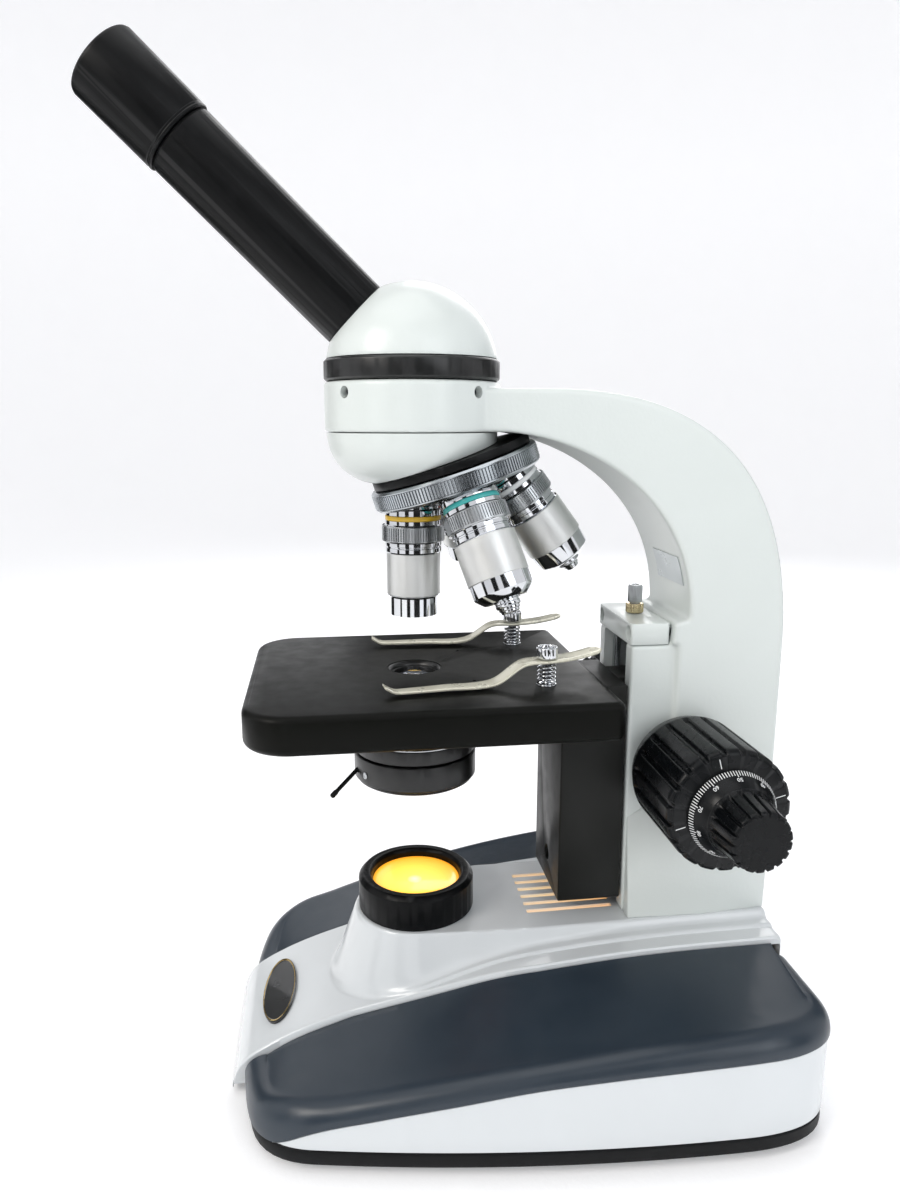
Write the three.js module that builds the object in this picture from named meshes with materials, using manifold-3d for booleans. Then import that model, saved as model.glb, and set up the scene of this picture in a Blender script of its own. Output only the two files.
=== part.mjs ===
// A monocular compound microscope with a built-in lamp: base, arm, moving stage, turret and eyepiece tube.
// Millimetres, +Z up, the eyepiece towards -Y, the user's right-hand side towards +X.
// The origin is on the table, under the middle of the instrument's bounding box.
import * as THREE from "three";
import { mergeVertices } from "three/addons/utils/BufferGeometryUtils.js";
import { ConvexGeometry } from "three/addons/geometries/ConvexGeometry.js";
import Module from "manifold-3d";

const wasm = await Module();
wasm.setup();

// ---------- driving dimensions ----------
const GAP = 0.3; // clearance between neighbouring pieces
const OPTICAL_AXIS_Y = -17.1; // the optical axis, from the middle of the bounding box
const SLIVER = 0.02; // shortest edge that a cut may leave

// base
const TRAY_BOTTOM = 3.3;
const TRAY_FLOOR = 5.3; // upper face of the tray's floor
const TRAY_TOP = 9;
const TRAY_INSET = 0.9; // how far the tray stands back from the base's outline
const FOOT_RADIUS = 9;
const FOOT_PIN_RADIUS = 2.3;
const WALL = 2.5; // moulded wall thickness
const ROLL = 8; // how far in from the edge the side covers begin to roll over
const PLATEAU_Z = 57.2; // top of the centre cover
const PLATEAU_HALF = 26.5;
const COVER_BACK = 138.2;
const BASE_BACK = 142.2;
const PANEL_BACK = BASE_BACK + GAP; // where the fittings on the back panel sit

// lamp
const COLLAR_RADIUS = 23.24;
const COLLAR_BOTTOM = 57.5;
const COLLAR_TOP = 71.2;
const LENS_RADIUS = 17.6;

// arm and focusing block
const ARM_HALF = 22.5;
const ARM_FOOT_Z = PLATEAU_Z + GAP;
const PILLAR_HALF = 20;
const PILLAR_FRONT = 80.5;
const CHANNEL_HALF = 13.6;
const CHANNEL_BACK = 98.4;
const CAP_BOTTOM = 167.4;
const CAP_TOP = 175.5;
const CAP_MIDDLE = (CAP_BOTTOM + CAP_TOP) / 2;
const CAP_BOLT_X = 16.6;
const STOP_Y = 88; // the stop screw, behind the cap's front edge
const STOP_TIP = 166.9; // the stage's upper stop

// focusing knobs
const FOCUS_AXIS_Y = 100.4;
const FOCUS_AXIS_Z = 120.6;
const PINION_PITCH_RADIUS = 5;
const COARSE_RADIUS = 22.2;
const COARSE_INNER_X = 26;
const COARSE_OUTER_X = 68;
const FINE_RADIUS = 10.4;
const FINE_OUTER_X = 91;
const DIAL_RADIUS = 15.6; // wide end of the fine knob's cone, which carries its scale
const DIAL_DEPTH = 8;
const COARSE_FLUTES = 20;
const FINE_FLUTES = 18;

// stage
const STAGE_TOP = 156.7;
const STAGE_BOTTOM = 142.9;
const STAGE_HALF = 55.9;
const STAGE_FRONT = -62.5;
const STAGE_BACK = 67.3;
const STAGE_CORNER = 17; // radius of the front corners
const STAGE_BACK_CORNER = 3.4;
const STAGE_HOLE = 10.4;
const CARRIER_HALF = 19.1;
const CARRIER_FRONT = 54.4;
const CARRIER_BACK = 79.7;
const CARRIER_BOTTOM = 63.3;
const RISER_FRONT = 58.7; // the part of the carrier that rises behind the stage's rear wall
const CARRIER_TOP = 151.5;
const CLIP_X = 30.5;
const CLIP_Y = 45;

// nosepiece: four objectives on a cone whose tip lies on the optical axis
const CONE_TIP_Z = 278.55;
const TURRET_TILT = THREE.MathUtils.degToRad(18.3);
const RIM_PLANE = 47; // cone tip to the top of the turret's rim, along the turret's axis
const RIM_RADIUS = 32.2;
const RIM_HEIGHT = 7.6;
const SEAT_DISTANCE = 60; // cone tip to the face an objective screws against
const THREAD_RADIUS = 10;

// head
const HEAD_RADIUS = 31.93;
const SEAM_Z = 246.5;
const COLLAR_Z = 264;
const SET_SCREW_Z = 260;
const BAND_TOP = 271.9;
const DOME_RADIUS = 31.1;
const DOME_CENTRE_Z = 268;
const TUBE_START_Z = 267.6;
const TUBE_TILT = THREE.MathUtils.degToRad(45.8);
const TUBE_RADIUS = 13.2;
const TUBE_BORE = 11.8;
const FACET_DISTANCE = 28.2;
const TUBE_END = 108.1;
const EYEPIECE_RADIUS = 13.9;
const EYEPIECE_END = 141.9;

// ---------- materials ----------
function material(color, roughness, metalness, extra = {}) {
  return new THREE.MeshStandardMaterial({ color, roughness, metalness, ...extra });
}
const enamel = material(0xe9edec, 0.32, 0);
const whitePlastic = material(0xe6eaec, 0.3, 0);
const greyPlastic = material(0x4b545e, 0.42, 0);
const blackPlastic = material(0x14171a, 0.5, 0);
const blackMetal = material(0x121416, 0.42, 0.3);
const blackRubber = material(0x1b1b1b, 0.85, 0);
const chrome = material(0xc9ccd0, 0.14, 1);
const satinSilver = material(0xb9bbb6, 0.38, 1);
const darkSteel = material(0x3b3e42, 0.4, 1);
const brass = material(0xb69a5e, 0.3, 1);
const clipSteel = material(0xdcd9c8, 0.35, 0.4);
const clearGlass = material(0xdfe8ea, 0.04, 0, { transparent: true, opacity: 0.45 });
const litGlass = material(0xffb938, 0.2, 0, { emissive: 0xff9a1c, emissiveIntensity: 1 });
const ceramic = material(0xe4ded0, 0.6, 0);
const badgeBlack = material(0x1d1e1e, 0.35, 0.2);

// ---------- solids ----------
// A closed three.js geometry as a manifold solid, whichever way its faces point.
function toSolid(geometry) {
  const bare = geometry.index ? geometry.toNonIndexed() : geometry.clone();
  for (const name of Object.keys(bare.attributes)) {
    if (name !== "position") bare.deleteAttribute(name);
  }
  const merged = mergeVertices(bare, 1e-4);
  const corners = [];
  for (let i = 0; i < merged.index.count; i += 3) {
    const [a, b, c] = [0, 1, 2].map((k) => merged.index.getX(i + k));
    if (a !== b && b !== c && c !== a) corners.push(a, b, c);
  }
  const vertProperties = merged.attributes.position.array;
  const build = (list) =>
    new wasm.Manifold(new wasm.Mesh({ numProp: 3, vertProperties, triVerts: new Uint32Array(list) }));
  const solid = build(corners);
  return solid.volume() < 0 ? build(corners.reverse()) : solid;
}

function toGeometry(solid) {
  const mesh = solid.simplify(SLIVER).getMesh();
  const geometry = new THREE.BufferGeometry();
  geometry.setAttribute("position", new THREE.BufferAttribute(mesh.vertProperties, 3));
  geometry.setIndex(new THREE.BufferAttribute(mesh.triVerts, 1));
  const faceted = geometry.toNonIndexed();
  faceted.computeVertexNormals();
  return faceted;
}

function joined(...geometries) {
  return toGeometry(geometries.map(toSolid).reduce((sum, next) => sum.add(next)));
}

function cut(geometry, ...tools) {
  return toGeometry(tools.map(toSolid).reduce((left, tool) => left.subtract(tool), toSolid(geometry)));
}

// ---------- shapes ----------
function box(x0, x1, y0, y1, z0, z1) {
  const geometry = new THREE.BoxGeometry(x1 - x0, y1 - y0, z1 - z0);
  return geometry.translate((x0 + x1) / 2, (y0 + y1) / 2, (z0 + z1) / 2);
}

// A profile of [radius, z] points turned round the Z axis. A ring's profile is closed by `ring`.
function turned(profile, segments = 24, ring = false) {
  const points = profile.map(([radius, z]) => new THREE.Vector2(radius, z));
  if (THREE.ShapeUtils.area(points) < 0) points.reverse();
  if (ring) points.push(points[0].clone());
  return new THREE.LatheGeometry(points, segments).rotateX(Math.PI / 2);
}

function ringOf(inner, outer, z0, z1, segments = 24) {
  return turned([[inner, z0], [outer, z0], [outer, z1], [inner, z1]], segments, true);
}

function rodZ(radius, z0, z1, x = 0, y = 0, segments = 16) {
  const geometry = new THREE.CylinderGeometry(radius, radius, z1 - z0, segments);
  return geometry.rotateX(Math.PI / 2).translate(x, y, (z0 + z1) / 2);
}

function rodX(radius, x0, x1, y, z, segments = 16) {
  const geometry = new THREE.CylinderGeometry(radius, radius, x1 - x0, segments);
  return geometry.rotateZ(Math.PI / 2).translate((x0 + x1) / 2, y, z);
}

function rodY(radius, y0, y1, x, z, segments = 16) {
  const geometry = new THREE.CylinderGeometry(radius, radius, y1 - y0, segments);
  return geometry.translate(x, (y0 + y1) / 2, z);
}

// A (Y, Z) outline stretched along X, from -half to half, with rounded edges.
function slab(shape, half, round = 0, curveSegments = 4) {
  const options = {
    depth: 2 * half - 2 * round,
    bevelEnabled: round > 0,
    bevelThickness: round,
    bevelSize: round,
    bevelOffset: -round,
    bevelSegments: 1,
    curveSegments,
  };
  const geometry = new THREE.ExtrudeGeometry(shape, options);
  const yzx = new THREE.Matrix4().makeBasis(
    new THREE.Vector3(0, 1, 0),
    new THREE.Vector3(0, 0, 1),
    new THREE.Vector3(1, 0, 0),
  );
  return geometry.applyMatrix4(yzx).translate(round - half, 0, 0);
}

// A rectangle with rounded corners. The two corners at y1 may have a radius of their own.
function roundedRect(x0, x1, y0, y1, radius, backRadius = radius) {
  const shape = new THREE.Shape();
  shape.moveTo(x0 + radius, y0);
  shape.lineTo(x1 - radius, y0);
  shape.absarc(x1 - radius, y0 + radius, radius, -Math.PI / 2, 0);
  shape.lineTo(x1, y1 - backRadius);
  shape.absarc(x1 - backRadius, y1 - backRadius, backRadius, 0, Math.PI / 2);
  shape.lineTo(x0 + backRadius, y1);
  shape.absarc(x0 + backRadius, y1 - backRadius, backRadius, Math.PI / 2, Math.PI);
  shape.lineTo(x0, y0 + radius);
  shape.absarc(x0 + radius, y0 + radius, radius, Math.PI, 1.5 * Math.PI);
  return shape;
}

// The value at `at` on straight lines through [place, value] stations.
function along(stations, at) {
  const next = stations.findIndex(([place]) => place >= at);
  if (next === 0) return stations[0][1];
  if (next < 0) return stations[stations.length - 1][1];
  const [[p0, v0], [p1, v1]] = [stations[next - 1], stations[next]];
  return THREE.MathUtils.mapLinear(at, p0, p1, v0, v1);
}

// A closed body with a rectangular net of points on its outside and another on its inside.
function netSolid(outside, inside) {
  const rows = outside.length;
  const columns = outside[0].length;
  const position = [...outside.flat(), ...inside.flat()].flatMap((p) => [p.x, p.y, p.z]);
  const index = [];
  const outer = (i, j) => i * columns + j;
  const inner = (i, j) => rows * columns + outer(i, j);
  const quad = (a, b, c, d) => index.push(a, b, c, a, c, d);
  for (let i = 0; i + 1 < rows; i++) {
    for (let j = 0; j + 1 < columns; j++) {
      quad(outer(i, j), outer(i + 1, j), outer(i + 1, j + 1), outer(i, j + 1));
      quad(inner(i, j), inner(i, j + 1), inner(i + 1, j + 1), inner(i + 1, j));
    }
    quad(outer(i, 0), inner(i, 0), inner(i + 1, 0), outer(i + 1, 0));
    const last = columns - 1;
    quad(outer(i, last), outer(i + 1, last), inner(i + 1, last), inner(i, last));
  }
  for (let j = 0; j + 1 < columns; j++) {
    quad(outer(0, j), outer(0, j + 1), inner(0, j + 1), inner(0, j));
    const last = rows - 1;
    quad(outer(last, j), inner(last, j), inner(last, j + 1), outer(last, j + 1));
  }
  const geometry = new THREE.BufferGeometry();
  geometry.setAttribute("position", new THREE.Float32BufferAttribute(position, 3));
  geometry.setIndex(index);
  return toGeometry(toSolid(geometry));
}

// ---------- base ----------
// Right-hand half of the base's plan, from the middle of the front edge round to the middle of the back.
function halfPlan() {
  const path = new THREE.Path();
  path.moveTo(0, -69.4);
  path.quadraticCurveTo(44, -69, 57, -64);
  path.quadraticCurveTo(69, -59, 72.5, -44);
  path.quadraticCurveTo(87, 30, 88, 106);
  path.quadraticCurveTo(88, BASE_BACK - 1, 66, BASE_BACK - 0.6);
  path.lineTo(0, BASE_BACK);
  return path;
}

// Points of that half plan with their inward directions, from `from` to `to` along its length.
function planPoints(from, to, count) {
  const path = halfPlan();
  return Array.from({ length: count + 1 }, (_, k) => {
    const u = THREE.MathUtils.lerp(from, to, k / count);
    const tangent = path.getTangentAt(u);
    return { at: path.getPointAt(u), inward: new THREE.Vector2(-tangent.y, tangent.x) };
  });
}

// Heights of the base's lines, by distance along Y.
const wingLowerEdge = [
  [-60, 9.4], [-52, 12], [-45, 15.6], [-19, 22.6], [6, 28], [31, 33], [57, 36], [83, 37.8], [109, 39],
];
const wingShoulder = [
  [-61, 16], [-55, 21], [-32, 26.5], [-6, 32.3], [19, 37.4], [45, 41.4], [80, 45.4], [113, 48],
];
const wingInnerEdge = [
  [-61, 15.5], [-51, 21], [-31, 28], [0, 37.5], [29, 46.2], [59, 49.8], [90, 51.6], [140, 52],
];
const coverHalfWidth = [[-28, 30.3], [0, 34.5], [29, 39], [42, 40.3]];
const coverProfile = [
  [-72.6, 5], [-71, 10], [-67.5, 14.2], [-62, 18], [-56, 21], [-50, 23.6], [-40, 27.4], [-28, 31],
  [0, 39.5], [29, 48], [59, 51.6], [90, 53.4], [COVER_BACK, 54],
];
const OUTLINE_START = 0.0925; // fraction of the half plan where a side cover begins, beside the centre cover
const OUTLINE_END = 0.872; // and where it ends, at the back

// A side cover: from the centre cover's edge out to the shoulder, then rolling down to its lower edge.
function wing(side) {
  const rollAngles = [0, 30, 60, 90].map(THREE.MathUtils.degToRad);
  const net = (sink) =>
    planPoints(OUTLINE_START, OUTLINE_END, 19).map(({ at, inward }) => {
      const shoulder = at.clone().addScaledVector(inward, ROLL);
      const top = along(wingShoulder, shoulder.y) - sink;
      const low = along(wingLowerEdge, at.y);
      const edge = new THREE.Vector2(along(coverHalfWidth, shoulder.y) + GAP, shoulder.y);
      const edgeTop = along(wingInnerEdge, shoulder.y) - sink;
      const row = [1, 0.5].map((f) => {
        const p = shoulder.clone().lerp(edge, f);
        return new THREE.Vector3(p.x, p.y, THREE.MathUtils.lerp(top, edgeTop, f));
      });
      const depth = ROLL - sink;
      for (const angle of rollAngles) {
        const p = shoulder.clone().addScaledVector(inward, -depth * Math.sin(angle));
        row.push(new THREE.Vector3(p.x, p.y, THREE.MathUtils.lerp(low + 0.8, top, Math.cos(angle))));
      }
      const foot = row[row.length - 1].clone();
      foot.z = low;
      row.push(foot);
      return row;
    });
  const geometry = netSolid(net(0), net(2));
  return side < 0 ? toGeometry(toSolid(geometry.scale(-1, 1, 1))) : geometry;
}

// The white wall under the side covers: one strip round the flanks and the back.
function skirt() {
  const right = planPoints(0.2, 1, 16);
  const left = right.slice(0, -1).reverse();
  const mirror = ({ at, inward }) => ({
    at: new THREE.Vector2(-at.x, at.y),
    inward: new THREE.Vector2(-inward.x, inward.y),
  });
  const rows = [...right, ...left.map(mirror)];
  const net = (inset) =>
    rows.map(({ at, inward }) => {
      const p = at.clone().addScaledVector(inward, inset);
      const top = along(wingLowerEdge, at.y) - 2 * GAP;
      return [new THREE.Vector3(p.x, p.y, TRAY_TOP + GAP), new THREE.Vector3(p.x, p.y, top)];
    });
  const strip = netSolid(net(0.6), net(0.6 + WALL));
  const inletHole = box(-32, -2, 130, 150, 12, 34);
  const switchHole = box(10.5, 30.5, 130, 150, 16, 30);
  return cut(strip, inletHole, switchHole);
}

function tray() {
  const rim = planPoints(0, 1, 20);
  const outline = (inset) => {
    const right = rim.map(({ at, inward }) => at.clone().addScaledVector(inward, inset));
    right[0].x = 0;
    right[right.length - 1].x = 0;
    const left = right.slice(1, -1).reverse().map((p) => new THREE.Vector2(-p.x, p.y));
    return new THREE.Shape([...right, ...left]);
  };
  const solid = (inset, depth, z) =>
    new THREE.ExtrudeGeometry(outline(inset), { depth, bevelEnabled: false }).translate(0, 0, z);
  const dish = solid(TRAY_INSET, TRAY_TOP - TRAY_BOTTOM, TRAY_BOTTOM);
  const hollow = solid(TRAY_INSET + WALL, TRAY_TOP, TRAY_FLOOR);
  const pinHoles = footPlaces.map(([x, y]) => rodZ(FOOT_PIN_RADIUS + GAP, 0, 12, x, y, 8));
  return cut(dish, hollow, ...pinHoles);
}

const footPlaces = [[54, -48], [-54, -48], [68, 116], [-68, 116]];

function foot() {
  return turned([
    [0, 0], [FOOT_RADIUS - 1, 0], [FOOT_RADIUS, 1], [FOOT_RADIUS, 3], [FOOT_PIN_RADIUS, 3],
    [FOOT_PIN_RADIUS, 6.5], [0, 6.5],
  ], 10);
}

// The raised middle of the centre cover: a round hill under the lamp, running back as a flat-topped ridge.
function ridge(shrink) {
  const top = PLATEAU_Z - shrink;
  const half = PLATEAU_HALF - shrink;
  const cone = turned([[0, 5], [43 - shrink, 5], [24.6 - shrink, top], [0, top]], 28);
  const profile = new THREE.Shape();
  profile.moveTo(-half - 13, 5);
  profile.lineTo(half + 13, 5);
  profile.lineTo(half + 1.2, top - 2);
  profile.lineTo(half, top);
  profile.lineTo(-half, top);
  profile.lineTo(-half - 1.2, top - 2);
  const length = COVER_BACK - shrink;
  const bar = new THREE.ExtrudeGeometry(profile, { depth: length, bevelEnabled: false });
  return joined(cone, bar.rotateX(Math.PI / 2).translate(0, length, 0));
}

function centreCover() {
  const columns = [-1, 0, 1];
  const net = (sink, spread = 1, floor = undefined) =>
    coverProfile.map(([y, z], k) => {
      const before = coverProfile[Math.max(k - 1, 0)];
      const after = coverProfile[Math.min(k + 1, coverProfile.length - 1)];
      const slope = Math.atan2(after[1] - before[1], after[0] - before[0]);
      const top = new THREE.Vector2(y + sink * Math.sin(slope), z - sink * Math.cos(slope));
      const half = spread * along(coverHalfWidth, y);
      return columns.map((c) => new THREE.Vector3(c * half, top.x, floor ?? top.y));
    });
  const sheet = netSolid(net(0), net(WALL));
  const below = netSolid(net(WALL - 0.4, 1.6), net(WALL, 1.6, -20));
  const backWall = box(-40, 40, 136.2, COVER_BACK, 39.2, 52);
  const raised = cut(ridge(0), below);
  const slots = [];
  for (const row of [-2.5, -1.5, -0.5, 0.5, 1.5, 2.5]) {
    slots.push(box(row * 5.66 - 0.95, row * 5.66 + 0.95, 43, 78, 50, 60));
  }
  const armBolts = [-12, 12].map((x) => rodZ(2.5, 50, 60, x, 118, 8));
  const lightHole = rodZ(LENS_RADIUS, 40, 60, 0, 0, 24);
  return cut(joined(sheet, raised, backWall), ridge(WALL), lightHole, ...slots, ...armBolts);
}

// The blank oval plate on the sloping front of the centre cover.
function badge() {
  const plate = new THREE.CylinderGeometry(1, 1, 0.8, 24).rotateX(Math.PI / 2).scale(20.5, 7.4, 1);
  return plate.rotateX(THREE.MathUtils.degToRad(25.5)).translate(0, -56.35, 21.55);
}

// ---------- lamp ----------
function lampCollar() {
  return turned([
    [LENS_RADIUS + 0.6, COLLAR_BOTTOM], [COLLAR_RADIUS, COLLAR_BOTTOM], [COLLAR_RADIUS, COLLAR_TOP - 1.6],
    [COLLAR_RADIUS - 1.6, COLLAR_TOP], [LENS_RADIUS + 1, COLLAR_TOP], [LENS_RADIUS + 0.2, COLLAR_TOP - 1.2],
    [LENS_RADIUS + 0.2, COLLAR_TOP - 6.2], [LENS_RADIUS - 2, COLLAR_TOP - 6.2],
    [LENS_RADIUS - 2, COLLAR_TOP - 8],
    [LENS_RADIUS + 0.6, COLLAR_TOP - 8],
  ], 22, true);
}

function fieldLens() {
  const low = COLLAR_TOP - 5.9;
  return turned([
    [0, low], [LENS_RADIUS - 0.1, low], [LENS_RADIUS - 0.1, low + 2.4], [LENS_RADIUS * 0.55, low + 4.2],
    [0, low + 4.7],
  ], 28);
}

function lampBulb() {
  return turned([
    [0, 24], [3, 24], [3, 31], [5.6, 34.5], [6.3, 38], [5, 42], [2.4, 44.6], [0, 45.2],
  ], 12);
}

function lampSocket() {
  const low = TRAY_FLOOR + GAP;
  return turned([
    [0, low], [12, low], [12, 12], [6.5, 14], [6.5, 28], [3.3, 28], [3.3, 23.6], [0, 23.6],
  ], 14);
}

// ---------- back panel ----------
function powerInlet() {
  const flange = box(-34, 0, PANEL_BACK, PANEL_BACK + 1.7, 10, 36);
  const body = box(-31.4, -2.6, PANEL_BACK - 24, PANEL_BACK + 1, 12.6, 33.4);
  const mouth = box(-28.5, -5.5, PANEL_BACK - 18, PANEL_BACK + 5, 16, 30);
  return cut(joined(flange, body), mouth);
}

function switchRocker() {
  const shape = new THREE.Shape();
  shape.moveTo(-8, 17);
  shape.lineTo(3.4, 17);
  shape.lineTo(1.2, 23);
  shape.lineTo(3.4, 29);
  shape.lineTo(-8, 29);
  return slab(shape, 9.6).translate(20.5, PANEL_BACK - 1.3, 0);
}

// ---------- arm ----------
function armOutline() {
  const shape = new THREE.Shape();
  shape.moveTo(14, 262);
  shape.lineTo(14, SEAM_Z);
  shape.lineTo(31, SEAM_Z);
  shape.bezierCurveTo(62, 244.5, 102, 222, 102, 177);
  shape.lineTo(95.6, 175.9);
  shape.lineTo(95.6, 167.2);
  shape.lineTo(98, 167.2);
  shape.lineTo(98, ARM_FOOT_Z);
  shape.lineTo(138.4, ARM_FOOT_Z);
  shape.lineTo(139.8, 66);
  shape.lineTo(140, 168);
  shape.bezierCurveTo(139, 215, 122, 262, 48, 262);
  return shape;
}

function arm() {
  const bow = slab(armOutline(), ARM_HALF, 2.5, 8);
  const pillar = box(-PILLAR_HALF, PILLAR_HALF, PILLAR_FRONT, 100, ARM_FOOT_Z, 167.1);
  const collar = turned([
    [12, SEAM_Z], [HEAD_RADIUS - 0.6, SEAM_Z], [HEAD_RADIUS, SEAM_Z + 0.8], [HEAD_RADIUS, COLLAR_Z - 0.6],
    [HEAD_RADIUS - 0.6, COLLAR_Z], [22.4, COLLAR_Z], [22.4, 250], [12, 250],
  ], 24, true);
  const corners = (x, y, z) => [-x, x].map((side) => new THREE.Vector3(side, y, z));
  const foot = new ConvexGeometry([
    ...corners(25.5, 81.3, ARM_FOOT_Z), ...corners(26.5, 112, ARM_FOOT_Z),
    ...corners(24.5, 138.3, ARM_FOOT_Z),
    ...corners(20, 82, 98), ...corners(22.4, 104, 112), ...corners(22.4, 139.4, 74),
  ]);
  const headBore = rodZ(22.4, 250, 300, 0, 0, 24);
  const lightBore = rodZ(12, 240, 300, 0, 0, 24);
  const channel = box(-CHANNEL_HALF, CHANNEL_HALF, 70, CHANNEL_BACK, 50, 167.6);
  const pinionRoom = box(-CHANNEL_HALF, CHANNEL_HALF, 90, 108, FOCUS_AXIS_Z - 8, FOCUS_AXIS_Z + 8);
  const shaftBore = rodX(5.4, -40, 40, FOCUS_AXIS_Y, FOCUS_AXIS_Z);
  const capBolts = [-CAP_BOLT_X, CAP_BOLT_X].map((x) => rodY(1.9, 90, 104, x, CAP_MIDDLE, 10));
  const setScrewBores = headScrewAngles.map((angle) =>
    rodX(2.1, 20, 40, 0, SET_SCREW_Z, 12).rotateZ(angle),
  );
  const turretRoom = rodZ(RIM_RADIUS + 1, -RIM_PLANE - 9, -RIM_PLANE + 3.8, 0, 0, 32);
  turretRoom.rotateX(TURRET_TILT).translate(0, 0, CONE_TIP_Z);
  const casting = joined(bow, pillar, collar, foot);
  const rooms = [channel, pinionRoom, turretRoom];
  return cut(casting, ...rooms, headBore, lightBore, shaftBore, ...capBolts, ...setScrewBores);
}

const headScrewAngles = [-52, 40, 174].map(THREE.MathUtils.degToRad);

function headSetScrew() {
  const screw = rodX(1.8, 22.8, 29.6, 0, SET_SCREW_Z, 12);
  const socket = rodX(0.9, 28, 32, 0, SET_SCREW_Z, 6);
  return cut(screw, socket);
}

function guideRail(side) {
  const rail = box(CHANNEL_HALF - 4.2, CHANNEL_HALF - GAP, 84, 93.5, 68, 166.6);
  const groove = box(0, CHANNEL_HALF - 2.8, 87.6, 90, 60, 170);
  const made = cut(rail, groove);
  return side < 0 ? toGeometry(toSolid(made.scale(-1, 1, 1))) : made;
}

function topCap() {
  const block = new THREE.ExtrudeGeometry(roundedRect(-PILLAR_HALF, PILLAR_HALF, 80, 95.2, 1), {
    depth: CAP_TOP - CAP_BOTTOM,
    bevelEnabled: false,
    curveSegments: 2,
  }).translate(0, 0, CAP_BOTTOM);
  const bolts = [-CAP_BOLT_X, CAP_BOLT_X].flatMap((x) => [
    rodY(2.9, 70, 88, x, CAP_MIDDLE, 14),
    rodY(1.9, 80, 100, x, CAP_MIDDLE, 10),
  ]);
  const stopHole = rodZ(2, 160, 180, 0, STOP_Y, 12);
  return cut(block, ...bolts, stopHole);
}

function capScrew() {
  const head = rodY(2.6, 84.9, 87.7, 0, 0, 12);
  const shank = rodY(1.6, 87, 100, 0, 0, 8);
  const key = rodY(1.3, 83, 86.5, 0, 0, 6);
  return cut(joined(head, shank), key);
}

function stopScrew() {
  return turned([
    [0, STOP_TIP], [1.7, STOP_TIP], [1.7, 180], [2.8, 180], [2.8, 186.4], [2.3, 187], [0, 187],
  ], 14).translate(0, STOP_Y, 0);
}

function stopLockRing() {
  return ringOf(2, 3.5, CAP_TOP + GAP, CAP_TOP + 4, 16).translate(0, STOP_Y, 0);
}

// ---------- nosepiece ----------
// Fixed bowl under the arm: rounded in front and cut off along the turret's tilted plane.
function nosepieceHousing() {
  const profile = [[12, 215], [13.5, 227.5]];
  for (const degrees of [20, 45, 68, 90]) {
    const angle = THREE.MathUtils.degToRad(degrees);
    profile.push([13.5 + 17.8 * Math.sin(angle), 246 - 18.2 * Math.cos(angle)]);
  }
  profile.push([31.3, SEAM_Z - GAP], [12, SEAM_Z - GAP]);
  const bowl = turned(profile, 24, true);
  const underside = box(-60, 60, -80, 80, -90, -RIM_PLANE + 3.7);
  underside.rotateX(TURRET_TILT).translate(0, 0, CONE_TIP_Z);
  return cut(bowl, underside);
}

function seatPlace(radius, z0, z1, segments) {
  return [0, 90, 180, 270].map((degrees) =>
    rodZ(radius, z0, z1, 0, 0, segments).rotateX(-TURRET_TILT).rotateZ(THREE.MathUtils.degToRad(degrees)),
  );
}

// Black bearing plate between the bowl and the turret, with a pivot in the turret's middle.
function nosepiecePlate() {
  const plate = turned([
    [0, -RIM_PLANE - 6], [4, -RIM_PLANE - 6], [4, -RIM_PLANE + 0.5], [30.3, -RIM_PLANE + 0.5],
    [30.3, -RIM_PLANE + 3.3], [0, -RIM_PLANE + 3.3],
  ], 28);
  return cut(plate, seatPlace(9, -60, -30, 16)[0]);
}

function turret() {
  const profile = [[0, -RIM_PLANE], [RIM_RADIUS - 0.9, -RIM_PLANE], [RIM_RADIUS, -RIM_PLANE - 0.9]];
  profile.push([RIM_RADIUS, -RIM_PLANE - RIM_HEIGHT + 0.8], [RIM_RADIUS - 1, -RIM_PLANE - RIM_HEIGHT]);
  const widest = Math.asin(29.8 / SEAT_DISTANCE);
  for (let k = 0; k <= 2; k++) {
    const angle = THREE.MathUtils.lerp(widest, 0, k / 2);
    profile.push([SEAT_DISTANCE * Math.sin(angle), -SEAT_DISTANCE * Math.cos(angle)]);
  }
  const pivotBore = rodZ(4.4, -RIM_PLANE - 6.6, -30, 0, 0, 14);
  return cut(turned(profile, 28), pivotBore, ...seatPlace(THREAD_RADIUS + 0.6, -80, -30, 12));
}

// An objective along -Z, its shoulder at z = 0 and its thread above.
function objective(body, bore) {
  const thread = [[bore, 4.5], [THREAD_RADIUS - 0.1, 4.5], [THREAD_RADIUS - 0.1, 0.3], [10.6, 0]];
  const profile = [...thread, [10.6, -5.9], [11.8, -6], [11.8, -11.9], [10.9, -12], ...body];
  return turned([...profile, [bore, body[body.length - 1][1]]], 14, true);
}

const objectiveBodies = {
  objective_4x: { bore: 6, body: [[10.1, -16.4], [10.1, -22], [9, -22.2], [9, -29]] },
  objective_10x: { bore: 4.5, body: [[10.1, -16.4], [10.1, -32.3], [9, -32.5], [9, -40.1]] },
  objective_40x: {
    bore: 4.9,
    body: [[11.3, -16.4], [11.3, -31.5], [11, -31.7], [11, -36.6], [8, -39.4], [6.2, -39.6]],
  },
  objective_100x: {
    bore: 4.9,
    body: [[11.3, -16.4], [11.3, -31.5], [11, -31.7], [10.4, -37.6], [7, -39.4], [6.2, -39.6]],
  },
};
const objectiveOrder = ["objective_10x", "objective_40x", "objective_100x", "objective_4x"];

// The spring-loaded front of a long objective: it slides up inside the barrel when it meets a slide.
function springTip(tipRadius) {
  return turned([
    [0, -32], [4.5, -32], [4.5, -41.2], [tipRadius + 0.6, -41.8], [tipRadius, -44.2], [0, -44.2],
  ], 14);
}

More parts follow.
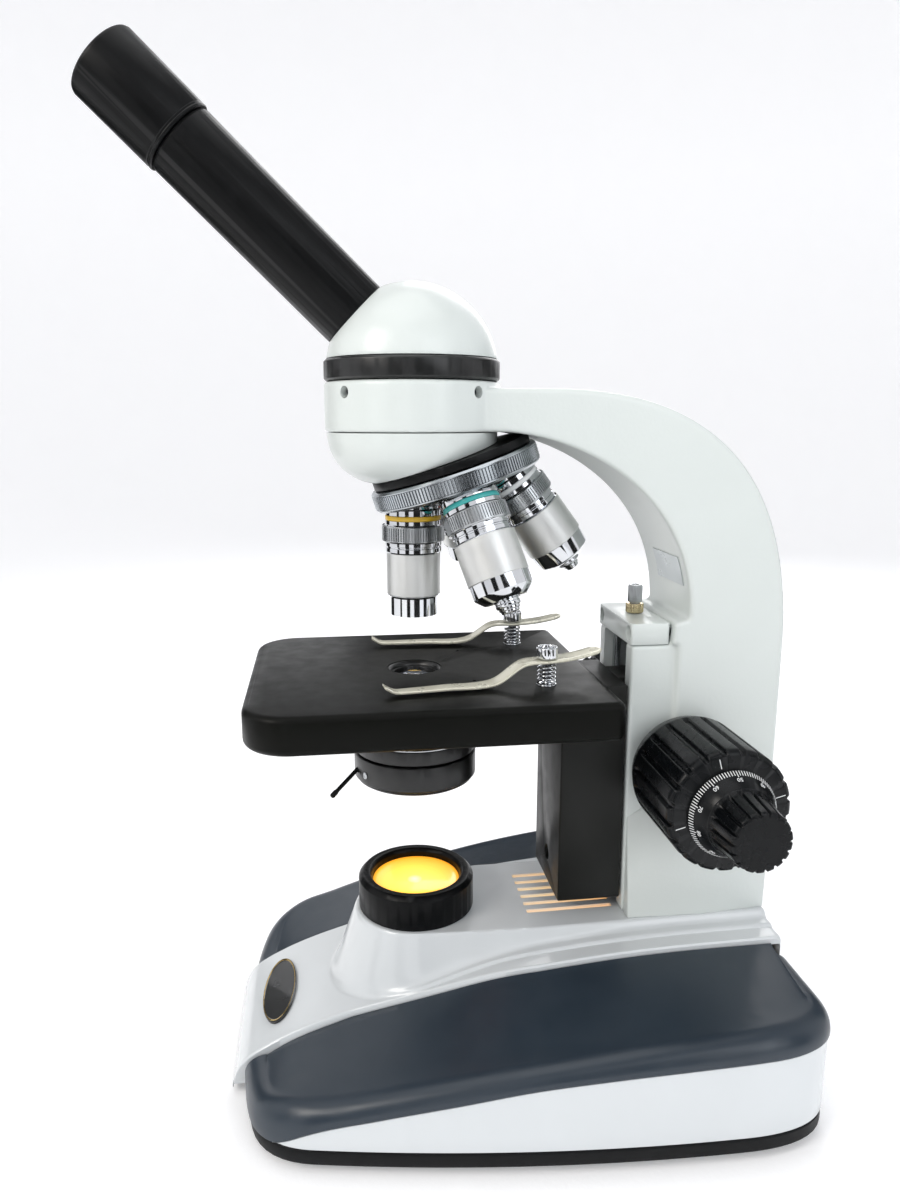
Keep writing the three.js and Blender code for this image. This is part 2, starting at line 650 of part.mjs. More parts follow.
// ---------- head ----------
function headBand() {
  return turned([
    [12, 251], [21.8, 251], [21.8, COLLAR_Z + GAP], [HEAD_RADIUS - 0.5, COLLAR_Z + GAP],
    [HEAD_RADIUS, COLLAR_Z + 0.9], [HEAD_RADIUS, BAND_TOP - 0.5], [HEAD_RADIUS - 0.5, BAND_TOP],
    [12, BAND_TOP],
  ], 24, true);
}

function headDome() {
  const seat = BAND_TOP + GAP;
  const sphere = (radius, z0) => {
    const low = Math.asin((z0 - DOME_CENTRE_Z) / radius);
    const profile = [[0, z0]];
    for (let k = 0; k <= 6; k++) {
      const angle = THREE.MathUtils.lerp(low, Math.PI / 2, k / 6);
      profile.push([k < 6 ? radius * Math.cos(angle) : 0, DOME_CENTRE_Z + radius * Math.sin(angle)]);
    }
    return turned(profile, 22);
  };
  const tilt = (geometry) => geometry.rotateX(TUBE_TILT).translate(0, 0, TUBE_START_Z);
  const facet = tilt(box(-20, 20, -20, 20, FACET_DISTANCE, 60));
  const tubeBore = tilt(rodZ(12.6, 4, 60, 0, 0, 16));
  return cut(sphere(DOME_RADIUS, seat), sphere(DOME_RADIUS - 3, seat - 0.5), facet, tubeBore);
}

function eyepieceTube() {
  const start = FACET_DISTANCE + GAP;
  return turned([
    [11, start - 6], [12.2, start - 6], [12.2, start], [TUBE_RADIUS, start], [TUBE_RADIUS, TUBE_END],
    [TUBE_BORE, TUBE_END], [TUBE_BORE, 70], [11, 70],
  ], 18, true);
}

function eyepieceBody() {
  return turned([
    [9, 84], [11.5, 84], [11.5, TUBE_END + GAP], [EYEPIECE_RADIUS, TUBE_END + GAP],
    [EYEPIECE_RADIUS, EYEPIECE_END - 1.5], [EYEPIECE_RADIUS - 1.5, EYEPIECE_END], [9, EYEPIECE_END - 0.6],
    [8, EYEPIECE_END - 3.6], [8, EYEPIECE_END - 8], [9, EYEPIECE_END - 8],
  ], 18, true);
}

function eyeLens() {
  return turned([
    [0, EYEPIECE_END - 7.6], [7.7, EYEPIECE_END - 7.6], [7.7, EYEPIECE_END - 5.4],
    [4.2, EYEPIECE_END - 4.3], [0, EYEPIECE_END - 3.9],
  ], 16);
}

// ---------- stage ----------
function stagePlate() {
  const round = 2.4;
  const height = STAGE_TOP - STAGE_BOTTOM;
  const plan = roundedRect(-STAGE_HALF, STAGE_HALF, STAGE_FRONT, STAGE_BACK, STAGE_CORNER, STAGE_BACK_CORNER);
  const outer = new THREE.ExtrudeGeometry(plan, {
    depth: height - round,
    bevelThickness: round,
    bevelSize: round,
    bevelOffset: -round,
    bevelSegments: 1,
    curveSegments: 4,
  }).translate(0, 0, STAGE_BOTTOM);
  const bottom = box(-80, 80, -90, 90, STAGE_BOTTOM - 10, STAGE_BOTTOM);
  const inset = 4;
  const inner = STAGE_HALF - inset;
  const pocketPlan = roundedRect(-inner, inner, STAGE_FRONT + inset, CARRIER_FRONT - 1, STAGE_CORNER - inset);
  const pocket = new THREE.ExtrudeGeometry(pocketPlan, {
    depth: height - 5,
    bevelEnabled: false,
    curveSegments: 3,
  }).translate(0, 0, STAGE_BOTTOM - 0.1);
  const hole = rodZ(STAGE_HOLE, 140, 160, 0, 0, 24);
  const postHoles = [-1, 1].map((side) => rodZ(2.1, 140, 160, side * CLIP_X, CLIP_Y, 10));
  const notchHalf = CARRIER_HALF + GAP;
  const riserNotch = box(-notchHalf, notchHalf, RISER_FRONT - 0.4, 90, STAGE_BOTTOM - 1, CARRIER_TOP + GAP);
  return cut(outer, bottom, pocket, hole, ...postHoles, riserNotch);
}

// Bracket that carries the stage: a block in front of the pillar, and a tongue that slides in its channel.
function stageCarrier() {
  const blockTop = STAGE_BOTTOM - GAP;
  const block = box(-CARRIER_HALF, CARRIER_HALF, CARRIER_FRONT, CARRIER_BACK, CARRIER_BOTTOM, blockTop);
  const riser = box(-CARRIER_HALF, CARRIER_HALF, RISER_FRONT, CARRIER_BACK, blockTop - 10, CARRIER_TOP);
  const tongue = box(-8.6, 8.6, CARRIER_BACK - 5, 91.4, CARRIER_BOTTOM + 8, CARRIER_TOP);
  const boltHead = rodY(3, 40, CARRIER_FRONT + 5, 0, 75, 14);
  return cut(joined(block, riser, tongue), boltHead);
}

function focusRack() {
  const pitch = 2 * Math.PI * PINION_PITCH_RADIUS / 10;
  const shape = new THREE.Shape();
  const teeth = 24;
  const low = 75;
  const [root, tip] = [93.4, 95];
  shape.moveTo(91.7, low);
  for (let k = 0; k < teeth; k++) {
    const z = low + k * pitch;
    shape.lineTo(root, z);
    shape.lineTo(tip, z + pitch * 0.5);
  }
  shape.lineTo(root, low + teeth * pitch);
  shape.lineTo(91.7, low + teeth * pitch);
  return slab(shape, 4);
}

// A spring-steel clip, seen from the side as a strip that steps down from its post to the slide.
function stageClip() {
  const top = [
    [-20.5, 168.2], [-10, 166.2], [0, 165.4], [8.5, 165.2], [19.5, 158.6], [55, 157.9], [59.5, 159.6],
  ];
  const shape = new THREE.Shape();
  const thick = 0.9;
  top.forEach(([d, z], k) => (k ? shape.lineTo(d, z + thick) : shape.moveTo(d, z + thick)));
  for (const [d, z] of [...top].reverse()) shape.lineTo(d, z);
  const side = slab(shape, 10).rotateZ(Math.PI);
  const plan = new THREE.Shape();
  plan.moveTo(-3.4, 20.6);
  plan.absarc(0, 16.8, 4, Math.PI * 0.8, Math.PI * 0.2, true);
  plan.lineTo(4.2, 0);
  plan.lineTo(3.4, -22);
  plan.lineTo(2.4, -60);
  plan.lineTo(-2.4, -60);
  plan.lineTo(-3.4, -22);
  plan.lineTo(-4.2, 0);
  const outline = new THREE.ExtrudeGeometry(plan, { depth: 40, bevelEnabled: false, curveSegments: 4 });
  const strip = toSolid(side).intersect(toSolid(outline.translate(0, 0, 140)));
  return toGeometry(strip.subtract(toSolid(rodZ(2, 150, 175, 0, 0, 10))));
}

function clipPost() {
  return turned([
    [0, 150], [1.7, 150], [1.7, 166.7], [3.9, 166.7], [3.9, 170.6], [3.1, 170.9], [3.1, 168.5], [0, 168.5],
  ], 10);
}

function clipSpring() {
  const turns = 4;
  const points = [];
  for (let k = 0; k <= turns * 6; k++) {
    const angle = (k / 6) * 2 * Math.PI;
    const z = THREE.MathUtils.lerp(157.5, 164.5, k / (turns * 6));
    points.push(new THREE.Vector3(3.1 * Math.cos(angle), 3.1 * Math.sin(angle), z));
  }
  const wire = new THREE.Shape().absarc(0, 0, 0.42, 0, 2 * Math.PI);
  return new THREE.ExtrudeGeometry(wire, {
    steps: turns * 6,
    extrudePath: new THREE.CatmullRomCurve3(points),
    curveSegments: 2,
  });
}

// ---------- condenser ----------
function condenserBody() {
  return turned([
    [8.5, 112.6], [22.4, 112.6], [23.2, 114], [19.4, 114], [19.4, 124.5], [23.2, 124.5], [23.2, 142],
    [13.5, 143], [13.5, 148.5], [9.8, 151], [9.8, 154.5], [8.5, 154.5],
  ], 20, true);
}

function condenserLens() {
  return turned([[0, 113], [8, 114.5], [8.2, 120], [7.2, 121], [7.2, 153], [0, 154.6]], 16);
}

// Iris ring round the condenser's core, with its slanting lever.
function irisRing() {
  const ring = ringOf(19.8, 23.9, 114.3, 124.2, 20);
  const lever = new THREE.CylinderGeometry(0.85, 0.85, 16, 8).translate(0, 6, 0);
  const slant = new THREE.Vector3(2.6, -9.4, -8.8).normalize();
  lever.applyQuaternion(new THREE.Quaternion().setFromUnitVectors(new THREE.Vector3(0, 1, 0), slant));
  return joined(ring, lever.translate(6.2, -23.2, 118));
}

// ---------- focusing knobs ----------
function flutedDisc(radius, depth, flutes, width, bore) {
  const shape = new THREE.Shape();
  const step = (2 * Math.PI) / flutes;
  for (let k = 0; k < flutes; k++) {
    for (const [part, r] of [[0, radius], [0.6, radius - depth]]) {
      const angle = (k + part) * step;
      shape[k + part ? "lineTo" : "moveTo"](r * Math.cos(angle), r * Math.sin(angle));
    }
  }
  shape.holes.push(new THREE.Path().absarc(0, 0, bore, 0, 2 * Math.PI));
  return new THREE.ExtrudeGeometry(shape, { depth: width, bevelEnabled: false, curveSegments: 5 });
}

// Knobs are turned along +Z here, and laid along X by `onFocusAxis`.
function coarseKnob() {
  const width = COARSE_OUTER_X - COARSE_INNER_X;
  const rim = ringOf(4.4, 19.6, 0, 4, 20);
  const grip = flutedDisc(COARSE_RADIUS, 1.1, COARSE_FLUTES, width - 7, 4.4).translate(0, 0, 3.5);
  const face = ringOf(4.4, 19, width - 4, width, 20);
  return joined(rim, grip, face);
}

function fineKnob() {
  const start = COARSE_OUTER_X - COARSE_INNER_X + 0.6;
  const end = FINE_OUTER_X - COARSE_INNER_X;
  const dial = turned([
    [2.7, start], [DIAL_RADIUS, start], [DIAL_RADIUS, start + 0.8], [12.2, start + DIAL_DEPTH],
    [2.7, start + DIAL_DEPTH],
  ], 20, true);
  const grip = flutedDisc(FINE_RADIUS, 0.8, FINE_FLUTES, end - start - DIAL_DEPTH + 0.5, 2.7);
  grip.translate(0, 0, start + DIAL_DEPTH - 0.5);
  return joined(dial, grip);
}

function focusShaft() {
  const half = COARSE_INNER_X + 30;
  const tube = turned([[2.8, -half], [4.1, -half], [4.1, half], [2.8, half]], 14, true);
  const pinion = ringOf(3.9, 4.6, -5, 5, 14);
  return joined(tube, pinion);
}

// ---------- assembly ----------
const instrument = new THREE.Group();
instrument.position.y = OPTICAL_AXIS_Y;

function place(parent, name, geometry, look) {
  const mesh = new THREE.Mesh(geometry, look);
  mesh.name = name;
  parent.add(mesh);
  return mesh;
}

function addBase() {
  place(instrument, "base_tray", tray(), blackPlastic);
  footPlaces.forEach(([x, y], k) => {
    place(instrument, `rubber_foot_${k + 1}`, foot(), blackRubber).position.set(x, y, 0);
  });
  place(instrument, "base_skirt", skirt(), whitePlastic);
  place(instrument, "wing_right", wing(1), greyPlastic);
  place(instrument, "wing_left", wing(-1), greyPlastic);
  place(instrument, "base_cover", centreCover(), whitePlastic);
  place(instrument, "base_badge", badge(), badgeBlack);
  place(instrument, "lamp_collar", lampCollar(), blackPlastic);
  place(instrument, "field_lens", fieldLens(), litGlass);
  place(instrument, "lamp_bulb", lampBulb(), litGlass);
  place(instrument, "lamp_socket", lampSocket(), ceramic);
  place(instrument, "transformer", box(-24, 24, 66, 106, TRAY_FLOOR + GAP, 44), darkSteel);
  place(instrument, "power_inlet", powerInlet(), blackPlastic);
  place(instrument, "switch_rocker", switchRocker(), blackPlastic);
}

function addArm() {
  place(instrument, "arm", arm(), enamel);
  place(instrument, "guide_rail_right", guideRail(1), darkSteel);
  place(instrument, "guide_rail_left", guideRail(-1), darkSteel);
  place(instrument, "top_cap", topCap(), enamel);
  for (const [name, x] of [["cap_screw_right", CAP_BOLT_X], ["cap_screw_left", -CAP_BOLT_X]]) {
    place(instrument, name, capScrew(), darkSteel).position.set(x, 0, CAP_MIDDLE);
  }
  place(instrument, "stop_screw", stopScrew(), darkSteel);
  place(instrument, "stop_lock_ring", stopLockRing(), brass);
  place(instrument, "nosepiece_housing", nosepieceHousing(), enamel);
  headScrewAngles.forEach((angle, k) => {
    place(instrument, `head_set_screw_${k + 1}`, headSetScrew(), darkSteel).rotation.z = angle;
  });
}

function addNosepiece() {
  const tilted = new THREE.Group();
  tilted.position.z = CONE_TIP_Z;
  tilted.rotation.x = TURRET_TILT;
  instrument.add(tilted);
  place(tilted, "nosepiece_plate", nosepiecePlate(), blackMetal);
  place(tilted, "nosepiece_turret", turret(), satinSilver);
  objectiveOrder.forEach((name, k) => {
    const spoke = new THREE.Group();
    spoke.rotation.z = (k * Math.PI) / 2;
    tilted.add(spoke);
    const seat = new THREE.Group();
    seat.rotation.x = -TURRET_TILT;
    spoke.add(seat);
    const { body, bore } = objectiveBodies[name];
    const drop = -SEAT_DISTANCE - GAP;
    place(seat, name, objective(body, bore), chrome).position.z = drop;
    if (name === "objective_40x") place(seat, "tip_40x", springTip(3.4), chrome).position.z = drop;
    if (name === "objective_100x") place(seat, "tip_100x", springTip(2.6), chrome).position.z = drop;
  });
}

function addHead() {
  place(instrument, "head_band", headBand(), blackMetal);
  place(instrument, "head_dome", headDome(), enamel);
  const tilted = new THREE.Group();
  tilted.position.z = TUBE_START_Z;
  tilted.rotation.x = TUBE_TILT;
  instrument.add(tilted);
  place(tilted, "eyepiece_tube", eyepieceTube(), blackMetal);
  place(tilted, "eyepiece_body", eyepieceBody(), blackMetal);
  place(tilted, "eye_lens", eyeLens(), clearGlass);
}

function addStage() {
  place(instrument, "stage_plate", stagePlate(), blackMetal);
  place(instrument, "stage_carrier", stageCarrier(), blackMetal);
  place(instrument, "focus_rack", focusRack(), brass);
  for (const [hand, side] of [["right", 1], ["left", -1]]) {
    const post = new THREE.Vector3(side * CLIP_X, CLIP_Y, 0);
    const clip = place(instrument, `clip_${hand}`, stageClip(), clipSteel);
    clip.position.copy(post);
    clip.rotation.z = side * THREE.MathUtils.degToRad(side > 0 ? 7 : 3);
    place(instrument, `clip_post_${hand}`, clipPost(), chrome).position.copy(post);
    place(instrument, `clip_spring_${hand}`, clipSpring(), chrome).position.copy(post);
  }
  place(instrument, "condenser_body", condenserBody(), blackMetal);
  place(instrument, "condenser_lens", condenserLens(), clearGlass);
  place(instrument, "iris_ring", irisRing(), blackMetal);
}

function addFocus() {
  const placeKnob = (name, geometry, side) => {
    const knob = place(instrument, name, geometry, blackPlastic);
    knob.position.set(side * COARSE_INNER_X, FOCUS_AXIS_Y, FOCUS_AXIS_Z);
    knob.rotation.y = (side * Math.PI) / 2;
  };
  for (const [hand, side] of [["right", 1], ["left", -1]]) {
    placeKnob(`coarse_knob_${hand}`, coarseKnob(), side);
    placeKnob(`fine_knob_${hand}`, fineKnob(), side);
  }
  const shaft = place(instrument, "focus_shaft", focusShaft(), darkSteel);
  shaft.position.set(0, FOCUS_AXIS_Y, FOCUS_AXIS_Z);
  shaft.rotation.y = Math.PI / 2;
  place(instrument, "fine_shaft", rodX(2.4, -86, 86, FOCUS_AXIS_Y, FOCUS_AXIS_Z, 10), darkSteel);
}

addBase();
addArm();
addNosepiece();
addHead();
addStage();
addFocus();

const group = new THREE.Group();
group.add(instrument);

export default group;
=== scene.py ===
"""Looks of a monocular compound microscope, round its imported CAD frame.

Lengths are in millimetres from the optical axis at table height, with +Z up and the eyepiece towards -Y.
"""

import math

import bmesh
import bpy
from mathutils import Matrix, Vector


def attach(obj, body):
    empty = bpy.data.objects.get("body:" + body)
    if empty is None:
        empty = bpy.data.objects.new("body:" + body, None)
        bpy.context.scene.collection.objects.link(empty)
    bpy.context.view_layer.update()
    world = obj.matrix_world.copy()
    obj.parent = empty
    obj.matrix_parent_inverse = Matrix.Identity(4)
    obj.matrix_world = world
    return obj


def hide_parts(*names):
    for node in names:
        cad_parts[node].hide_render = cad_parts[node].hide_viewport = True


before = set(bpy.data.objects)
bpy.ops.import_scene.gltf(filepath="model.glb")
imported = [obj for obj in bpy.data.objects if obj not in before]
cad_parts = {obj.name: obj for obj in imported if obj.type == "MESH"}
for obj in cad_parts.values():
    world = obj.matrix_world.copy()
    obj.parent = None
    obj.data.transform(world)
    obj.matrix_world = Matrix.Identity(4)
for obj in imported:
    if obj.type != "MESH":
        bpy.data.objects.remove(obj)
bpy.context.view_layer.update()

MM = 0.001
SIDES = ((1, "right"), (-1, "left"))
AXIS_Y = -17.1  # the optical axis, from the middle of the bounding box


def linked(name, data):
    made = bpy.data.objects.new(name, data)
    bpy.context.scene.collection.objects.link(made)
    return made


def mesh_of(name, verts, faces):
    mesh = bpy.data.meshes.new(name)
    mesh.from_pydata(verts, [], faces)
    return mesh


# ---------- camera, light and floor ----------
def add_camera():
    data = bpy.data.cameras.new("camera")
    data.lens = 26.84
    data.sensor_width = 36
    data.clip_start = 0.01
    camera = linked("camera", data)
    azimuth = math.radians(82.128)
    pitch = math.radians(11.416)
    back = Vector((
        math.sin(azimuth) * math.cos(pitch),
        -math.cos(azimuth) * math.cos(pitch),
        math.sin(pitch),
    ))
    camera.location = Vector((334.45, -32.25 + AXIS_Y, 250.87)) * MM
    camera.rotation_mode = "QUATERNION"
    camera.rotation_quaternion = (-back).to_track_quat("-Z", "Y")
    bpy.context.scene.camera = camera


def add_light(name, place, aim, size, watts, colour=(1, 1, 1)):
    data = bpy.data.lights.new(name, "AREA")
    data.shape = "RECTANGLE"
    data.size = size[0]
    data.size_y = size[1]
    data.energy = watts
    data.color = colour
    light = linked(name, data)
    light.location = place
    light.rotation_mode = "QUATERNION"
    light.rotation_quaternion = (Vector(aim) - Vector(place)).to_track_quat("-Z", "Y")


def add_studio():
    world = bpy.data.worlds.new("studio")
    world.use_nodes = True
    background = world.node_tree.nodes["Background"]
    background.inputs["Color"].default_value = (0.93, 0.95, 1.0, 1)
    background.inputs["Strength"].default_value = 0.42
    bpy.context.scene.world = world
    bpy.context.scene.view_settings.view_transform = "Standard"
    middle = (0, 0, 0.18)
    add_light("key", (0.55, -0.95, 0.95), middle, (0.5, 0.5), 6.2, (1, 0.955, 0.89))
    add_light("fill", (1.1, 0.5, 0.7), middle, (0.8, 0.8), 3.4, (0.92, 0.96, 1))
    add_light("rim", (-0.9, 0.35, 0.8), middle, (0.6, 0.9), 4)
    add_cards()
    add_light("top", (0.05, -0.1, 1.25), (0, 0, 0.1), (0.9, 0.9), 3.4)


# Dark cards that only show in reflections, so that polished metal has something dark to mirror.
def add_cards():
    radius, height = 0.62, 0.5
    for k, (azimuth, half_width) in enumerate(
        [(20, 5), (58, 8), (98, 14), (140, 9), (200, 16), (262, 12), (320, 14)]
    ):
        verts = []
        for z in (0, height):
            for step in range(7):
                angle = math.radians(azimuth + half_width * (step / 3 - 1))
                verts.append((radius * math.sin(angle), -radius * math.cos(angle), z))
        faces = [(j, j + 1, j + 8, j + 7) for j in range(6)]
        mesh = mesh_of(f"card_{k}", verts, faces)
        mesh.materials.append(CARD)
        card = linked(f"card_{k}", mesh)
        card.visible_camera = False
        card.visible_diffuse = False
        card.visible_shadow = False
        card.visible_transmission = False


# A pale floor that curves up all round into a backdrop.
def add_floor():
    flat, rise = 1.5, 0.9
    profile = [(0, 0)] + [(0.25 * k, 0) for k in range(1, 7)]
    for k in range(1, 13):
        angle = k / 12 * math.pi / 2
        profile.append((flat + rise * math.sin(angle), rise * (1 - math.cos(angle))))
    profile.append((flat + rise, 3))
    mesh = mesh_of("floor", *lathe(profile, 96))
    mesh.shade_smooth()
    floor = linked("floor", mesh)
    mesh.materials.append(FLOOR_PAINT)


# ---------- materials ----------
def linear(code):
    channels = [int(code[i : i + 2], 16) / 255 for i in (0, 2, 4)]
    return tuple(c / 12.92 if c <= 0.04045 else ((c + 0.055) / 1.055) ** 2.4 for c in channels)


def add_node(tree, kind, inputs=None, **settings):
    made = tree.nodes.new(kind)
    for key, value in settings.items():
        setattr(made, key, value)
    for key, value in (inputs or {}).items():
        made.inputs[key].default_value = value
    return made


def noise(tree, coordinates, size_mm, detail=3.0, stretch=None):
    made = add_node(tree, "ShaderNodeTexNoise", {"Scale": 1000 / size_mm, "Detail": detail})
    if stretch:
        scaled = add_node(tree, "ShaderNodeVectorMath", {1: stretch}, operation="MULTIPLY")
        tree.links.new(coordinates, scaled.inputs[0])
        coordinates = scaled.outputs[0]
    tree.links.new(coordinates, made.inputs["Vector"])
    return made.outputs["Fac"]


def ranged(tree, value, low, high, new_low, new_high):
    made = add_node(tree, "ShaderNodeMapRange", {1: low, 2: high, 3: new_low, 4: new_high})
    tree.links.new(value, made.inputs[0])
    return made.outputs[0]


def new_surface(name):
    look = bpy.data.materials.new(name)
    look.use_nodes = True
    tree = look.node_tree
    coordinates = tree.nodes.new("ShaderNodeTexCoord").outputs["Object"]
    return look, tree, tree.nodes["Principled BSDF"], coordinates


def bumped(tree, height, depth, strength=1.0):
    made = add_node(tree, "ShaderNodeBump", {"Strength": strength, "Distance": depth * MM})
    tree.links.new(height, made.inputs["Height"])
    return made


# A surface with patchy colour and roughness, a fine grain, and paler edges where it is rubbed.
def finish(name, code, rough, metal=0.0, grain=(0.5, 0.01), patch=0.06, spread=0.05, wear=0.0,
           stretch=None, ripple=None, **sockets):
    look, tree, bsdf, coordinates = new_surface(name)
    bsdf.inputs["Metallic"].default_value = metal
    for key, value in sockets.items():
        bsdf.inputs[key.replace("_", " ")].default_value = value
    colour = linear(code)
    cloudy = noise(tree, coordinates, 28, 5)
    ramp = add_node(tree, "ShaderNodeValToRGB")
    dark, light = ramp.color_ramp.elements
    dark.position = 0.3
    light.position = 0.7
    dark.color = (*[c * (1 - patch) for c in colour], 1)
    light.color = (*[min(1, c * (1 + patch)) for c in colour], 1)
    tree.links.new(cloudy, ramp.inputs[0])
    shade = ramp.outputs[0]
    if wear:
        geometry = tree.nodes.new("ShaderNodeNewGeometry")
        edge = ranged(tree, geometry.outputs["Pointiness"], 0.52, 0.62, 0, wear)
        mix = add_node(tree, "ShaderNodeMix", data_type="RGBA")
        pale = tuple(min(1, c * 2.2 + 0.05) for c in colour)
        mix.inputs["B"].default_value = (*pale, 1)
        tree.links.new(edge, mix.inputs["Factor"])
        tree.links.new(shade, mix.inputs["A"])
        shade = mix.outputs["Result"]
    tree.links.new(shade, bsdf.inputs["Base Color"])
    smudge = noise(tree, coordinates, 7, 4, stretch)
    tree.links.new(ranged(tree, smudge, 0.3, 0.7, max(0.02, rough - spread), rough + spread),
                   bsdf.inputs["Roughness"])
    bump = bumped(tree, noise(tree, coordinates, grain[0], 2, stretch), grain[1])
    if ripple:
        swell = bumped(tree, noise(tree, coordinates, ripple[0], 1), ripple[1])
        tree.links.new(swell.outputs[0], bump.inputs["Normal"])
    tree.links.new(bump.outputs[0], bsdf.inputs["Normal"])
    return look


# A lamp-lit surface, brightest where the bulb stands behind it.
def glowing(name, hot, cool, reach, strength, centre):
    look, tree, bsdf, coordinates = new_surface(name)
    bsdf.inputs["Roughness"].default_value = 0.25
    bsdf.inputs["Coat Weight"].default_value = 0.5
    bsdf.inputs["Emission Strength"].default_value = strength
    place = Vector((centre[0], centre[1] + AXIS_Y, centre[2])) * MM
    away = add_node(tree, "ShaderNodeVectorMath", {1: place}, operation="DISTANCE")
    tree.links.new(coordinates, away.inputs[0])
    ramp = add_node(tree, "ShaderNodeValToRGB")
    ramp.color_ramp.elements[0].color = (*linear(hot[0]), 1)
    ramp.color_ramp.elements[1].color = (*linear(cool), 1)
    middle = ramp.color_ramp.elements.new(0.16)
    middle.color = (*linear(hot[1]), 1)
    tree.links.new(ranged(tree, away.outputs["Value"], 0, reach * MM, 0, 1), ramp.inputs[0])
    tree.links.new(ramp.outputs[0], bsdf.inputs["Emission Color"])
    tree.links.new(ramp.outputs[0], bsdf.inputs["Base Color"])
    bump = bumped(tree, noise(tree, coordinates, 1.2), 0.02, 0.5)
    tree.links.new(bump.outputs[0], bsdf.inputs["Normal"])
    return look


FLOOR_PAINT = finish("floor_paint", "f2f2f3", 0.75, grain=(2, 0.05), patch=0.01, Emission_Strength=0.2,
                     Emission_Color=(1, 1, 1, 1))
CARD = finish("dark_card", "050505", 0.9)
ENAMEL = finish("enamel", "d0d6d3", 0.33, grain=(1.5, 0.055), patch=0.012, spread=0.015, Coat_Weight=0.25,
                Coat_Roughness=0.22)
WHITE_PLASTIC = finish("white_plastic", "d0d4d6", 0.22, grain=(0.35, 0.002), patch=0.015, ripple=(14, 0.05),
                       Coat_Weight=0.4, Coat_Roughness=0.06)
GREY_PLASTIC = finish("grey_plastic", "27313b", 0.33, grain=(0.3, 0.012), patch=0.05, wear=0.25)
TRAY_PLASTIC = finish("tray_plastic", "08090b", 0.5, grain=(0.4, 0.02), patch=0.1, Specular_IOR_Level=0.2)
BLACK_PLASTIC = finish("black_plastic", "07090b", 0.27, grain=(0.3, 0.006), patch=0.1, wear=0.35,
                       Specular_IOR_Level=0.2)
BLACK_METAL = finish("black_metal", "08090a", 0.34, grain=(0.22, 0.008), patch=0.12, wear=0.3,
                     Specular_IOR_Level=0.14)
STAGE_PAINT = finish("stage_paint", "0a0b08", 0.38, grain=(0.25, 0.008), patch=0.1, wear=0.4,
                     Specular_IOR_Level=0.1)
BLACK_GLOSS = finish("black_gloss", "050606", 0.38, grain=(0.5, 0.003), patch=0.1, wear=0.4,
                     Coat_Weight=0.2, Coat_Roughness=0.25)
DARK_GREEN = finish("dark_green_black", "0c120f", 0.25, 0.3, grain=(0.5, 0.004), patch=0.2)
RUBBER = finish("rubber", "161616", 0.85, grain=(0.4, 0.03), patch=0.15)
CHROME = finish("chrome", "d5d7da", 0.07, 1.0, grain=(0.6, 0.0006), patch=0.03, spread=0.03)
SILVER = finish("sand_blasted_silver", "e2e3e1", 0.44, 1.0, grain=(0.3, 0.012), patch=0.05)
RIM_SILVER = finish("rim_silver", "a3a8ac", 0.24, 1.0, grain=(0.3, 0.002), patch=0.06, wear=0.3)
STEEL = finish("dark_steel", "4d5156", 0.32, 1.0, grain=(0.3, 0.003), patch=0.1)
BRIGHT_STEEL = finish("bright_steel", "b9bcbe", 0.28, 1.0, grain=(0.25, 0.003), patch=0.05,
                      stretch=(1, 1, 0.08))
CHAMPAGNE = finish("champagne_brass", "cfc09a", 0.26, 1.0, grain=(0.3, 0.002), patch=0.05)
BRASS = finish("brass", "b79d62", 0.26, 1.0, grain=(0.3, 0.002), patch=0.08)
CLIP_STEEL = finish("clip_steel", "d8d5c3", 0.3, 0.35, grain=(0.5, 0.003), patch=0.05, Coat_Weight=0.3)
CERAMIC = finish("ceramic", "e4ded0", 0.55)
LABEL = finish("label_foil", "b9bfc0", 0.3, 0.6, grain=(0.4, 0.002), patch=0.05)
BADGE = finish("badge_black", "191a1a", 0.3, 0.2, grain=(0.3, 0.003), Coat_Weight=0.5)
BAND_PAINT = {"grain": (0.4, 0.004), "Coat_Weight": 0.4}
YELLOW = finish("yellow_band", "e0b52a", 0.35, **BAND_PAINT)
TURQUOISE = finish("turquoise_band", "35a7a4", 0.35, **BAND_PAINT)
WHITE_MARK = finish("white_mark", "e8eaea", 0.45, grain=(0.4, 0.004))
RED = finish("red_band", "b03128", 0.35, **BAND_PAINT)
GLASS = finish("coated_glass", "dfe6f2", 0.03, grain=(2, 0.0002), patch=0.01, spread=0.01,
               Transmission_Weight=0.9, IOR=1.5, Coat_Weight=0.3)
# Painted glint: a copper-coloured metal that stands in for a warm highlight under the condenser.
PAINTED_GLINT_COPPER = finish("copper_glint", "b5652c", 0.3, 1.0, grain=(0.3, 0.003))
LAMP_LENS = glowing("lit_lens", ("fff8b8", "ffd754"), "f0a028", 20, 1.15, (5, -1, 69))
VENT_GLOW = glowing("vent_glow", ("ffe3a8", "ffd08c"), "ffb066", 60, 2.2, (0, 50, 50))


# ---------- shapes: each is (points, faces), in millimetres ----------
def lathe(profile, segments=128, loop=False, wave=None):
    """A profile of (radius, z) or (radius, z, flute depth) turned round Z."""
    verts, faces, rows = [], [], []
    for radius, z, *depth in profile:
        if radius == 0:
            rows.append([len(verts)])
            verts.append((0, 0, z))
            continue
        row = []
        for k in range(segments):
            angle = 2 * math.pi * k / segments
            reach = radius - depth[0] * wave(angle) if depth and wave else radius
            row.append(len(verts))
            verts.append((reach * math.cos(angle), reach * math.sin(angle), z))
        rows.append(row)
    pairs = list(zip(rows, rows[1:]))
    if loop:
        pairs.append((rows[-1], rows[0]))
    for low, high in pairs:
        for k in range(segments):
            n = (k + 1) % segments
            corners = [low[k % len(low)], low[n % len(low)], high[n % len(high)], high[k % len(high)]]
            faces.append(list(dict.fromkeys(corners)))
    return verts, faces


